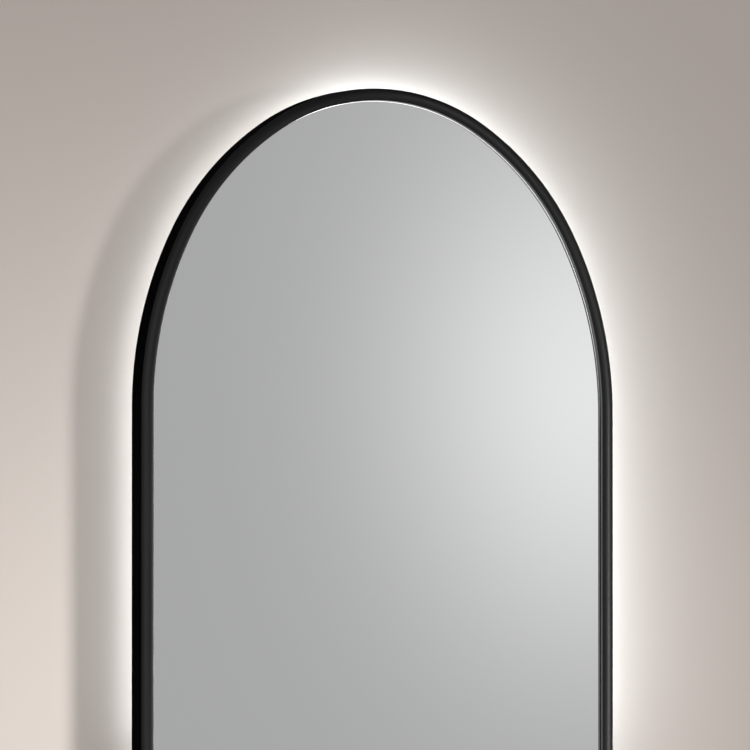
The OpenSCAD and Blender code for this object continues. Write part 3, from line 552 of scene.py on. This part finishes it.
def newTree(name, inputs):
    # a tree with named inputs, and a wire from each of them
    tree = bpy.data.node_groups.new(name, "GeometryNodeTree")
    for title, kind in [("Geometry", "Geometry")] + inputs + [("Finish", "Material")]:
        tree.interface.new_socket(title, in_out="INPUT", socket_type="NodeSocket" + kind)
    tree.interface.new_socket("Geometry", in_out="OUTPUT", socket_type="NodeSocketGeometry")
    g = Graph(tree)
    given = tree.nodes.new("NodeGroupInput")
    return g, {o.name: Wire(g, o) for o in given.outputs if o.name}


def closeTree(g, geometry, finish):
    # real meshes with their finish, because the export drops instances
    real = g.node("GeometryNodeRealizeInstances", None, {"Geometry": geometry})
    done = g.node("GeometryNodeSetMaterial", None, {"Geometry": real, "Material": finish})
    g.tree.links.new(done.socket, g.tree.nodes.new("NodeGroupOutput").inputs[0])
    return g.tree


def bandTree():
    # carries a section along the stations: a grid whose rows are stations and columns the section
    g, ask = newTree("bandAlongArch", [("Stations", "Object"), ("Section", "Object"),
                                       ("Weld distance", "Float")])
    path = g.node("GeometryNodeObjectInfo", None, {"Object": ask["Stations"]}, "Geometry")
    section = g.node("GeometryNodeObjectInfo", None, {"Object": ask["Section"]}, "Geometry")
    rows = g.node("GeometryNodeAttributeDomainSize", None, {"Geometry": path}, "Point Count")
    columns = g.node("GeometryNodeAttributeDomainSize", None, {"Geometry": section}, "Point Count")
    closed = columns + 1
    grid = g.node("GeometryNodeMeshGrid", None, {"Vertices X": rows, "Vertices Y": closed}, "Mesh")
    index = g.node("GeometryNodeInputIndex")
    row = (index / closed).floor()
    column = (index - row * closed) % columns

    def taken(geometry, value, place, kind):
        # the field's value at one point of a geometry
        return g.node("GeometryNodeSampleIndex", {"data_type": kind, "domain": "POINT"},
                      {"Geometry": geometry, "Value": value, "Index": place})

    def stored(name, kind):
        return g.node("GeometryNodeInputNamedAttribute", {"data_type": kind}, {"Name": name})

    position = g.node("GeometryNodeInputPosition")
    start = taken(path, position, row, "FLOAT_VECTOR")
    inward = taken(path, stored("inward", "FLOAT_VECTOR"), row, "FLOAT_VECTOR")
    along = taken(path, stored("along", "FLOAT"), row, "FLOAT")
    across = taken(section, stored("across", "FLOAT"), column, "FLOAT")
    inset, depth, _ = g.parts(taken(section, position, column, "FLOAT_VECTOR"))
    out = g.node("ShaderNodeCombineXYZ", None, {"Y": depth * -1.0})
    moved = g.added(g.added(start, g.scaled(inward, inset)), out)
    placed = g.node("GeometryNodeSetPosition", None, {"Geometry": grid, "Position": moved})
    pair = g.node("ShaderNodeCombineXYZ", None, {"X": along, "Y": across})
    marked = g.node("GeometryNodeStoreNamedAttribute", {"data_type": "FLOAT_VECTOR", "domain": "POINT"},
                    {"Geometry": placed, "Name": "band", "Value": pair})
    welded = g.node("GeometryNodeMergeByDistance", None,
                    {"Geometry": marked, "Distance": ask["Weld distance"]})
    return closeTree(g, welded, ask["Finish"])


bandNodes = bandTree()


def giveInputs(modifier, values):
    # sets the tree's inputs by their identifiers
    for item in modifier.node_group.interface.items_tree:
        if item.item_type == "SOCKET" and item.in_out == "INPUT" and item.name in values:
            modifier[item.identifier] = values[item.name]


def bandPiece(label, stations, section, finish):
    path, outline = stationObject(label + "Path", stations), profileObject(label + "Section", section)
    piece = linked(label, bpy.data.meshes.new(label))
    modifier = piece.modifiers.new("band", "NODES")
    modifier.node_group = bandNodes
    giveInputs(modifier, {"Stations": path, "Section": outline, "Weld distance": archSizes["weld"],
                          "Finish": finish})
    piece.update_tag()
    mesh = plainMesh(piece)
    for helper in (path, outline):
        bpy.data.objects.remove(helper)
    shape = bmesh.new()
    shape.from_mesh(mesh)
    bmesh.ops.holes_fill(shape, edges=[e for e in shape.edges if e.is_boundary], sides=0)
    bmesh.ops.recalc_face_normals(shape, faces=shape.faces)
    softShade(meshFrom(shape, mesh), archSizes["softAngle"])
    giveFinish(mesh, finish)
    return piece


def facingAt(place):
    # the way out of the outline, and how far a place lies inside it
    half, low = archSizes["halfWidth"], -archSizes["sideHeight"]
    x, y = abs(place.x), place.z + archSizes["railHeight"]
    sign = 1 if place.x >= 0 else -1
    if y <= 0:
        if y - low < half - x:
            return Vector((0, 0, -1)), y - low
        return Vector((sign, 0, 0)), half - x
    for centre, radius, end in arcs:
        out = Vector((x, y)) - centre
        if math.atan2(out.y, out.x) <= end + 1e-6:
            break
    inset = radius - out.length
    out.normalize()
    return Vector((sign * out.x, 0, out.y)), inset


# Frame

frameSizes = {               # millimetres, as on the drawing of the section
    "faceWidth": 12.0,
    "front": 50.0,
    "rear": 17.0,
    "wall": 1.6,
    "webRear": 35.5,
    "webFront": 37.0,
    "ledge": 20.0,
    "crownRadius": 14.0,
    "crownTop": 8.8,         # from the outer edge
    "outerRadius": 0.9,
    "innerRadius": 0.7,
    "rearChamfer": 0.3,
    "edgeSteps": 7,
    "crownSteps": 10,
    "sideFacing": 0.3,       # a side wall's normal leans less than this to the front
}


def crownHeight(s, place):
    # the crown's distance from the wall, at a place across the face
    return s["front"] - s["crownRadius"] + math.sqrt(s["crownRadius"] ** 2 - (place - s["crownTop"]) ** 2)


def roundedEdge(width, edge, radius, front, steps):
    # from the side wall up to the crown: where it ends, and its points
    tilt = math.asin((width - edge) / (radius - edge))
    centre = front - radius + (radius - edge) * math.cos(tilt)
    return [(edge - edge * math.cos(a), centre + edge * math.sin(a))
            for a in [(math.pi / 2 - tilt) * k / steps for k in range(steps + 1)]]


def frameSection(s):
    width, front, radius, top = s["faceWidth"], s["front"], s["crownRadius"], s["crownTop"]
    outer = roundedEdge(top, s["outerRadius"], radius, front, s["edgeSteps"])
    edge = roundedEdge(width - top, s["innerRadius"], radius, front, s["edgeSteps"])
    inner = [(width - i, z) for i, z in edge]
    start, end = outer[-1][0], inner[-1][0]
    places = [start + (end - start) * k / s["crownSteps"] for k in range(1, s["crownSteps"])]
    crown = [(i, crownHeight(s, i)) for i in places]
    cut, wall = s["rearChamfer"], s["wall"]
    return ([(wall, s["webRear"]), (wall, s["rear"] + cut), (wall - cut, s["rear"]), (cut, s["rear"]),
             (0, s["rear"] + cut)]
            + outer + crown + inner[::-1]
            + [(width, s["webFront"]), (s["ledge"], s["webFront"]), (s["ledge"], s["webRear"])])


def dullAndShadeOuterWall(piece, s):
    # the outer wall has a duller coat than the face and the inner wall, in a darker black that is painted
    # shade
    piece.data.materials.append(sideCoatPaintedShade)
    low = crownHeight(s, 0) - s["outerRadius"]
    for face in piece.data.polygons:
        _, inset = facingAt(face.center)
        side = abs(face.normal.y) < s["sideFacing"] and -face.center.y < low * mm
        if side and inset < s["faceWidth"] / 2 * mm:
            face.material_index = 1


section = frameSection(frameSizes)
for label, stations, node in (("frameArchBar", archStations(archSizes), "frame_arch"),
                              ("frameBottomBar", bottomStations(archSizes), "frame_bottom")):
    bar = bandPiece(label, stations, section, finishes["frame_black"])
    dullAndShadeOuterWall(bar, frameSizes)
    standFor(bar, node)
print("frame made")


# Mirror glass

glassSizes = {               # millimetres
    "inset": 12.5,
    "back": 38.0,
    "front": 43.0,
    "bevelWidth": 0.3,
    "bevelDrop": 0.15,
    "arris": 0.08,
    "softAngle": 8,          # degrees
}


def glassPiece(s):
    lift = archSizes["railHeight"]
    around = archStations({**archSizes, "seam": 0.0})
    inset, drop = s["inset"], s["front"] - s["bevelDrop"]
    rings = [(inset, s["back"]), (inset, drop - s["arris"]), (inset + s["arris"], drop),
             (inset + s["bevelWidth"], s["front"])]
    shape = bmesh.new()
    loops = [[shape.verts.new((p.x + w.x * i * mm, -z * mm, p.y + w.y * i * mm - lift))
              for p, w in around] for i, z in rings]
    count = len(around)
    for inner, outer in zip(loops, loops[1:]):
        for k in range(count):
            nextK = (k + 1) % count
            shape.faces.new((inner[k], inner[nextK], outer[nextK], outer[k])).material_index = 1
    shape.faces.new(loops[0]).material_index = 2
    shape.faces.new(loops[-1]).material_index = 0
    bmesh.ops.recalc_face_normals(shape, faces=shape.faces)
    bmesh.ops.triangulate(shape, faces=[f for f in shape.faces if len(f.verts) > 4])
    mesh = meshFrom(shape, "mirrorPane")
    softShade(mesh, s["softAngle"])
    for finish in (finishes["mirror_glass"], groundEdge, backPaint):
        mesh.materials.append(finish)
    standFor(linked("mirrorPane", mesh), "mirror_glass")


glassPiece(glassSizes)
print("glass made")


# Light carrier and its opal cover

lightSizes = {               # millimetres
    "inset": 45.0,
    "mouth": 35.0,
    "wall": 1.5,
    "rear": 6.7,
    "plate": 34.5,
    "frontFlange": 21.0,
    "rearFlange": 13.0,
    "grooveLow": 9.0,
    "grooveHigh": 21.0,
    "coverWall": 1.6,
    "coverCrown": 0.35,
    "coverSteps": 5,
    "coverGap": 0.1,
    "coverLip": 3.4,
    "lipWall": 1.2,
    "sideFacing": 0.5,
    "glow": 42.0,            # the light's strength, its colours, and where it turns, in metres
    "glowLeft": (0.33, 0.35, 0.36),
    "glowRight": (0.93, 1.02, 1.08),
    "glowTurn": (-0.12, 0.08),
}


def carrierSection(s):
    inset, wall, mouth = s["inset"], s["wall"], s["mouth"]
    low, high, plate, rear = s["grooveLow"], s["grooveHigh"], s["plate"], s["rear"]
    front, back = inset + s["frontFlange"], inset + s["rearFlange"]
    return [(inset + wall, plate - wall), (front, plate - wall), (front, plate), (inset, plate),
            (inset, high + wall), (mouth, high + wall), (mouth, high), (inset, high), (inset, low),
            (mouth, low), (mouth, low - wall), (inset, low - wall), (inset, rear), (back, rear),
            (back, rear + wall), (inset + wall, rear + wall)]


def coverSection(s):
    mouth, low, high = s["mouth"], s["grooveLow"] + s["coverGap"], s["grooveHigh"] - s["coverGap"]
    back = mouth + s["coverWall"]
    deep = back + s["coverLip"]
    middle, half, steps = (low + high) / 2, (high - low) / 2, s["coverSteps"]
    places = [middle - half * k / steps for k in range(steps, -steps - 1, -1)]
    outer = [(mouth + s["coverCrown"] * (abs(z - middle) / half) ** 2, z) for z in places]
    return ([(back, low + s["lipWall"]), (deep, low + s["lipWall"]), (deep, low)] + outer
            + [(deep, high), (deep, high - s["lipWall"]), (back, high - s["lipWall"])])


def glowOutside(piece, finish, s):
    # only the cover's outer face is lit
    piece.data.materials.append(finish)
    reach = (s["mouth"] + s["coverWall"] / 2) * mm
    for face in piece.data.polygons:
        out, inset = facingAt(face.center)
        if abs(face.normal.y) < s["sideFacing"] and inset < reach and face.normal.dot(out) > 0:
            face.material_index = 1


lit = litOpal(lightSizes)
carrier, cover = carrierSection(lightSizes), coverSection(lightSizes)
for name, stations in (("Arch", archStations(archSizes)), ("Bottom", bottomStations(archSizes))):
    node = name.lower()
    bar = bandPiece("lightCarrier" + name + "Bar", stations, carrier, finishes["carrier_aluminium"])
    standFor(bar, "light_carrier_" + node)
    opal = bandPiece("opalCover" + name, stations, cover, finishes["opal_diffuser"])
    glowOutside(opal, lit, lightSizes)
    standFor(opal, "diffuser_" + node)
print("light ring made")


# Screws

screwSizes = {
    "headWide": 1.9,         # these are shares of the shank's diameter
    "headHigh": 0.55,
    "slotWide": 0.25,
    "slotDeep": 0.3,
    "slotLong": 1.15,        # share of the head's radius
    "point": (0.9, 0.6),     # where the point starts along the shank, and its thickness at the end
    "sides": 24,
    "softAngle": 30,
}
# radii and heights, as shares of the head's
panHead = ((0.0, 1.0), (0.45, 1.0), (0.78, 0.92), (0.94, 0.68), (1.0, 0.35), (1.0, 0.0))


def turned(shape, profile, sides):
    # the rings of a turned shape, from its radii and heights; a point on the axis is one vertex
    rings = []
    for radius, z in profile:
        turns = [math.tau * k / sides for k in range(sides if radius else 1)]
        rings.append([shape.verts.new((radius * math.cos(t), radius * math.sin(t), z)) for t in turns])
    for first, second in zip(rings, rings[1:]):
        for k in range(sides):
            n = (k + 1) % sides
            ring = [first[0]] if len(first) == 1 else [first[k], first[n]]
            ring += [second[0]] if len(second) == 1 else [second[n], second[k]]
            shape.faces.new(ring)
    return rings


def screwMesh(name, diameter, length, s):
    # a pan head with a cross recess; the head's underside is at zero and the shank runs to +z
    head, high = s["headWide"] * diameter / 2, s["headHigh"] * diameter
    start, tip = s["point"]
    shank = diameter / 2
    shape = bmesh.new()
    turned(shape, [(head * r, -high * z) for r, z in panHead]
           + [(shank, 0), (shank, length * start), (shank * tip, length), (0, length)], s["sides"])
    bmesh.ops.recalc_face_normals(shape, faces=shape.faces)
    body = linked(name, meshFrom(shape, name))
    long, wide, deep = head * s["slotLong"], s["slotWide"] * diameter, s["slotDeep"] * diameter
    for across, along in ((long, wide), (wide, long)):
        cut = bmesh.new()
        bmesh.ops.create_cube(cut, size=1)
        for vert in cut.verts:
            vert.co = Vector((vert.co.x * across, vert.co.y * along, vert.co.z * 2 * deep - high))
        cutter = linked("recess", meshFrom(cut, "recess"))
        trim = body.modifiers.new("recess", "BOOLEAN")
        trim.operation, trim.object, trim.solver = "DIFFERENCE", cutter, "EXACT"
        plainMesh(body)
        bpy.data.objects.remove(cutter)
    softShade(body.data, s["softAngle"])
    return body


def scatterTree():
    # one shape on every point, tilted as the point says and turned by an angle from a fixed seed
    g, ask = newTree("shapeOnPoints", [("Shape", "Object"), ("Most turn", "Float"), ("Seed", "Int")])
    shape = g.node("GeometryNodeObjectInfo", {"transform_space": "ORIGINAL"},
                   {"Object": ask["Shape"]}, "Geometry")
    turn = g.node("FunctionNodeRandomValue", {"data_type": "FLOAT"}, {"Seed": ask["Seed"]}, out=1)
    # its fourth socket is the highest number
    g.put(turn.socket.node.inputs[3], ask["Most turn"])
    spin = g.node("ShaderNodeCombineXYZ", None, {"Z": turn})
    tilt = g.node("GeometryNodeInputNamedAttribute", {"data_type": "FLOAT_VECTOR"}, {"Name": "tilt"})
    way = g.node("FunctionNodeRotateEuler", {"rotation_type": "EULER", "space": "LOCAL"},
                 {0: tilt, 1: spin})
    placed = g.node("GeometryNodeInstanceOnPoints", None,
                    {"Points": ask["Geometry"], "Instance": shape, "Rotation": way})
    return closeTree(g, placed, ask["Finish"])


scatterNodes = scatterTree()


def scattered(node, label, shape, points, tilts, mostTurn=0.0, seed=1):
    finish = finishes[slotOf[node]]
    mesh = bpy.data.meshes.new(label)
    mesh.from_pydata(points, [], [])
    tilt = mesh.attributes.new("tilt", "FLOAT_VECTOR", "POINT")
    for i, value in enumerate(tilts):
        tilt.data[i].vector = value
    piece = linked(label, mesh)
    modifier = piece.modifiers.new("shapes", "NODES")
    modifier.node_group = scatterNodes
    giveInputs(modifier, {"Shape": shape, "Most turn": mostTurn, "Seed": seed, "Finish": finish})
    piece.update_tag()
    giveFinish(plainMesh(piece), finish)
    bpy.data.objects.remove(shape)
    standFor(piece, node)


def screwSet(node, label, diameter, seed):
    boxes = islandBoxes(node)
    headHigh = screwSizes["headHigh"] * diameter
    length = (boxes[0][1].y - boxes[0][0].y) - headHigh
    points = [((low.x + high.x) / 2, high.y - headHigh, (low.z + high.z) / 2) for low, high in boxes]
    tilts = [(math.pi / 2, 0, 0)] * len(points)
    screw = screwMesh(label + "Screw", diameter, length, screwSizes)
    scattered(node, label, screw, points, tilts, math.pi / 2, seed)


for node, label, diameter, seed in (
        ("plate_screws", "plateScrewSet", 3, 3), ("carrier_screws", "carrierScrewSet", 3, 5),
        ("bracket_screws", "bracketScrewSet", 4, 7), ("driver_screws", "driverScrewSet", 3, 11),
        ("box_screws", "boxScrewSet", 3, 13)):
    screwSet(node, label, diameter * mm, seed)
print("screws made")


# Light chips

chipSizes = {
    "side": 3.0 * mm,
    "high": 0.8 * mm,
    "body": 0.75,            # the body's share of the height; the lens has the rest
    "lens": 0.8,             # the lens's share of the side
    "edge": 0.1 * mm,
    "sides": 16,
    "softAngle": 40,
}
# radii and heights, as shares of the lens's
lensProfile = ((1.0, 0.0), (0.82, 0.75), (0.45, 1.0))


def chipMesh(s):
    # a square body with a low round lens, its middle at the origin and its lens to +z
    side, high = s["side"] / 2, s["high"] / 2
    top = -high + s["high"] * s["body"]
    shape = bmesh.new()
    bmesh.ops.create_cube(shape, size=1)
    for vert in shape.verts:
        vert.co = Vector((vert.co.x * 2 * side, vert.co.y * 2 * side, -high if vert.co.z < 0 else top))
    bmesh.ops.bevel(shape, geom=list(shape.edges), offset=s["edge"], segments=2, affect="EDGES",
                    profile=0.5)
    radius = side * s["lens"]
    profile = [(radius, top - s["edge"])] + [(radius * r, top + (high - top) * z) for r, z in lensProfile]
    rings = turned(shape, profile, s["sides"])
    shape.faces.new(rings[-1])
    shape.faces.new(rings[0][::-1])
    bmesh.ops.recalc_face_normals(shape, faces=shape.faces)
    mesh = meshFrom(shape, "lightChip")
    softShade(mesh, s["softAngle"])
    return linked("lightChip", mesh)


chipPlaces = [(low + high) / 2 for low, high in islandBoxes("led_chips")]
chipTilts = []
for place in chipPlaces:
    out, _ = facingAt(place)
    chipTilts.append((0, math.atan2(out.x, out.z), 0))
scattered("led_chips", "lightChipSet", chipMesh(chipSizes), chipPlaces, chipTilts)
print("light chips made:", len(chipPlaces))


# Leads

leadSizes = {
    "bendSteps": 12,
    "roundSteps": 4,
    "depth": 29.5,           # millimetres from the wall, where the leads lie on the plate
    "weld": 1e-7,            # metres
    "softAngle": 50,
}


def smoothRoute(points, radius, steps):
    points = [Vector(p) * mm for p in points]
    route = [points[0]]
    for before, corner, after in zip(points, points[1:], points[2:]):
        start = corner + (before - corner).normalized() * radius * mm
        end = corner + (after - corner).normalized() * radius * mm
        route += [(1 - t) ** 2 * start + 2 * t * (1 - t) * corner + t * t * end
                  for t in [k / steps for k in range(steps + 1)]]
    route.append(points[-1])
    return route


def leadPiece(node, label, diameter, radius, points):
    # millimetres, as on the drawing: right, up from the spring line, out of the wall
    route = smoothRoute(points, radius, leadSizes["bendSteps"])
    route = [Vector((p.x, -p.z, p.y - archSizes["railHeight"])) for p in route]
    curve = bpy.data.curves.new(label, "CURVE")
    curve.dimensions = "3D"
    curve.bevel_depth = diameter / 2 * mm
    curve.bevel_resolution = leadSizes["roundSteps"]
    curve.use_fill_caps = True
    spline = curve.splines.new("POLY")
    spline.points.add(len(route) - 1)
    for point, place in zip(spline.points, route):
        point.co = (*place, 1)
    tube = linked(label + "Curve", curve)
    mesh = bpy.data.meshes.new_from_object(tube.evaluated_get(bpy.context.evaluated_depsgraph_get()))
    bpy.data.objects.remove(tube)
    shape = bmesh.new()
    shape.from_mesh(mesh)
    bmesh.ops.remove_doubles(shape, verts=shape.verts, dist=leadSizes["weld"])
    bmesh.ops.recalc_face_normals(shape, faces=shape.faces)
    softShade(meshFrom(shape, mesh), leadSizes["softAngle"])
    giveFinish(mesh, finishes[slotOf[node]])
    standFor(linked(label, mesh), node)


deep = leadSizes["depth"]
leadPiece("mains_lead", "mainsLeadRun", 5, 12,
          [(-82, -86, deep), (-66, -86, deep), (-66, -215, deep), (-31.4, -215, deep)])
leadPiece("led_lead", "stripLeadRun", 3, 9.6,
          [(91.4, -215, deep), (140, -215, deep), (140, -285, deep), (140, -311, 15), (140, -335, 15)])
leadPiece("demister_lead", "demisterLeadRun", 3, 3.9,
          [(-82, -79.4, deep), (-20, -79.4, deep), (-20, -79.4, 37.4)])
leadPiece("earth_lead", "earthLeadRun", 3, 3.9,
          [(-82, -73.4, deep), (-60, -73.4, deep), (-60, -50, deep), (-60, -48, 33), (-60, -44, 33)])
print("leads made")


# Bevelled copies

for node, label, width, segments in (
        ("wall_rail", "wallRailBar", 0.35, 2), ("hang_bracket", "hangBracketBar", 0.35, 2),
        ("wall_bumpers", "bumperPads", 0.9, 3), ("driver_case", "driverTray", 0.7, 3),
        ("driver_cover", "driverLid", 0.7, 3), ("junction_box", "boxShell", 0.5, 3),
        ("junction_lid", "boxLid", 0.5, 3), ("terminal_block", "terminalHousing", 0.25, 2),
        ("lever_live", "liveLeverArm", 0.3, 2), ("lever_neutral", "neutralLeverArm", 0.3, 2),
        ("lever_earth", "earthLeverArm", 0.3, 2), ("gland_body", "glandBarrel", 0.3, 2),
        ("gland_locknut", "glandNut", 0.4, 2), ("gland_cap", "glandDome", 0.6, 3),
        ("lead_clips", "leadClipSet", 0.3, 2), ("plate_grommet", "grommetRing", 0.3, 3),
        ("earth_nut", "earthNutHex", 0.3, 2), ("earth_tag", "earthTagPlate", 0.15, 2),
        ("driver_transformer", "transformerBlock", 0.4, 2), ("corner_keys", "cornerKeySet", 0.4, 2),
        ("corner_screws", "cornerScrewSet", 0.25, 2), ("driver_board", "driverBoardSheet", 0.15, 1),
        ("driver_capacitors", "capacitorCans", 0.7, 3), ("lid_pin", "lidHingePin", 0.25, 2),
        ("lever_pin", "leverHingePin", 0.25, 2), ("gland_seal", "glandSealRing", 0.3, 2),
        ("earth_stud", "earthStudBolt", 0.3, 2)):
    bevelledCopy(node, label, width * mm, segments, copySizes)
for name, node in frame["nodes"].items():
    for place in node.material_slots:
        place.material = finishes[slotOf[name]]
print("back pieces made")


# Room and light

roomSizes = {                           # lengths are metres
    "wallHalf": 3.0,
    "wallTop": 2.4,
    "wallBehind": 0.0004,
    "floor": -1.62,
    "floorDepth": 9.0,
    "wallColour": (0.62, 0.56, 0.52),
    "wallSpread": 0.015,
    "cardLow": (-2.5, -1.5),
    "cardTop": (4.5, 3.2),
    "cardPlace": (1.295, -2.85, 0.045),
    "cardSpread": (0.178, 0.222),
    "cardBase": 0.432,
    "cardPeak": 0.875,
    "cardLeft": 2.2,                    # left of the stretch that the pane shows
    "cardLeftFade": (-0.7, -0.3),
    "cardHigh": 0.06,                   # above that stretch
    "cardHighFade": (0.5, 1.5),
    "stripPlace": (1.85, -2.83, 1.4),
    "stripSize": (0.2, 2.2),
    "stripLevel": (20.0, 19.8, 19.7),
    "skyLevel": (0.399, 0.785),         # at the horizon and overhead
    "skyTint": (1.0, 0.985, 0.965),
    "skyFade": (-0.1, 0.75),
    "seenLevel": 0.80,
    "glossFade": (0.25, 0.7),           # gloss sees the sky darken towards overhead
    "glossDrop": 0.9,
}

keyLamp = {
    "place": (2.62, -2.43, -0.30),
    "aim": (-0.40, 0.0, -0.60),
    "radius": 0.40,
    "cone": 25.0,            # degrees
    "blend": 1.0,
    "squeeze": 0.63,         # how narrow the pool is across
    "power": 690,
    "colour": (1.0, 0.99, 0.985),
}


def flatPiece(name, corners, finish):
    mesh = bpy.data.meshes.new(name)
    mesh.from_pydata(corners, [], [tuple(range(len(corners)))])
    mesh.materials.append(finish)
    piece = linked(name, mesh)
    return piece


def plasterWall(colour, spread):
    f = Finish("plasterWall")
    trowel = f.noise(3.2, 5.0, 0.6)
    sand = f.noise(420, 2.0, 0.5)
    low, high = [tuple(c * share for c in colour) for share in (1 - spread, 1 + spread)]
    f.set(Base_Color=f.blend(trowel, low, high), Roughness=0.85,
          Normal=f.bump(sand * 0.6 + trowel * 0.4, 0.05, 0.0006))
    # seen from behind, the wall is clear, so that the mirror's back shows
    clear = f.node("ShaderNodeBsdfTransparent")
    back = f.node("ShaderNodeNewGeometry", out="Backfacing")
    shadow = f.node("ShaderNodeLightPath", out="Is Shadow Ray")
    through = f.node("ShaderNodeMath", {"operation": "MAXIMUM"}, {0: back, 1: shadow})
    plaster = Wire(f, f.shader.outputs[0])
    return f.show(f.node("ShaderNodeMixShader", None, {0: through, 1: plaster, 2: clear}))


def paleFloor():
    f = Finish("paleFloor")
    grain = f.noise(6, 4.0)
    return f.set(Base_Color=f.blend(grain, (0.70, 0.69, 0.67), (0.74, 0.73, 0.71)), Roughness=0.6)


def glowing(f, colour):
    # a plain light in place of the shader
    f.tree.nodes.remove(f.shader)
    return f.show(f.node("ShaderNodeEmission", None, {"Color": colour, "Strength": 1.0}))


def reflectedCard(s):
    # the soft light that the glass shows: brightest at its right, fading to grey; the frame's face
    # shows more of the card, brighter at its left and dark overhead
    f = Finish("softCard")
    wide, tall = s["cardSpread"]
    near = f.node("ShaderNodeMapping", {"vector_type": "TEXTURE"},
                  {"Vector": f.place, "Location": s["cardPlace"], "Scale": (wide, 1.0, tall)})
    away = f.node("ShaderNodeVectorMath", {"operation": "DOT_PRODUCT"}, {0: near, 1: near}, "Value")
    bell = f.node("ShaderNodeMath", {"operation": "EXPONENT"}, {0: away * -0.5})
    level = f.blend(bell, (s["cardBase"],) * 3, (s["cardPeak"],) * 3)
    across, _, high = f.parts(f.place)
    level = f.blend(f.spread(across, *s["cardLeftFade"], 1.0, 0.0), level, (s["cardLeft"],) * 3)
    return glowing(f, f.blend(f.spread(high, *s["cardHighFade"]), level, (s["cardHigh"],) * 3))


def lightCard(name, low, high, y, finish):
    # an upright card that faces the mirror and shows only in gloss
    card = flatPiece(name, [(low[0], y, low[1]), (low[0], y, high[1]), (high[0], y, high[1]),
                            (high[0], y, low[1])], finish)
    for way in ("camera", "diffuse", "transmission", "volume_scatter", "shadow"):
        setattr(card, "visible_" + way, False)


def makeRoom(s):
    half, top, floor, depth = s["wallHalf"], s["wallTop"], s["floor"], s["floorDepth"]
    behind = s["wallBehind"]
    wall = flatPiece("backWall", [(-half, behind, floor), (half, behind, floor), (half, behind, top),
                                  (-half, behind, top)], plasterWall(s["wallColour"], s["wallSpread"]))
    # so that daylight also reaches the mirror's back
    wall.visible_diffuse = wall.visible_glossy = False
    flatPiece("floorSheet", [(-half, -depth, floor), (half, -depth, floor), (half, 0, floor),
                             (-half, 0, floor)], paleFloor())
    lightCard("softCard", s["cardLow"], s["cardTop"], s["cardPlace"][1], reflectedCard(s))
    x, y, z = s["stripPlace"]
    wide, high = s["stripSize"][0] / 2, s["stripSize"][1] / 2
    lightCard("stripCard", (x - wide, z - high), (x + wide, z + high), y,
              glowing(Finish("stripGlow"), (*s["stripLevel"], 1)))


def makeWorld(s):
    world = bpy.data.worlds.new("softStudio")
    world.use_nodes = True
    scene.world = world
    g = Graph(world.node_tree)
    up = g.parts(g.node("ShaderNodeTexCoord", out="Generated"))[2]
    sky = g.spread(up, *s["skyFade"], *s["skyLevel"])
    seen = g.node("ShaderNodeLightPath", out="Is Camera Ray")
    gloss = g.node("ShaderNodeLightPath", out="Is Glossy Ray")
    dark = gloss * g.spread(up, *s["glossFade"], 0.0, s["glossDrop"])
    level = (sky + seen * (s["seenLevel"] - sky)) * (1 - dark)
    g.put(world.node_tree.nodes["Background"].inputs["Color"], g.scaled(s["skyTint"], level))


def makeLamp(name, s):
    data = bpy.data.lights.new(name, "SPOT")
    data.shadow_soft_size = s["radius"]
    data.spot_size, data.spot_blend = math.radians(s["cone"]), s["blend"]
    data.energy, data.color = s["power"], s["colour"]
    lamp = bpy.data.objects.new(name, data)
    lamp.location = s["place"]
    lamp.rotation_mode = "QUATERNION"
    lamp.rotation_quaternion = (Vector(s["aim"]) - Vector(s["place"])).to_track_quat("-Z", "Y")
    lamp.scale = (s["squeeze"], 1, 1)
    scene.collection.objects.link(lamp)


makeRoom(roomSizes)
makeWorld(roomSizes)
makeLamp("keyLamp", keyLamp)
print("room made")
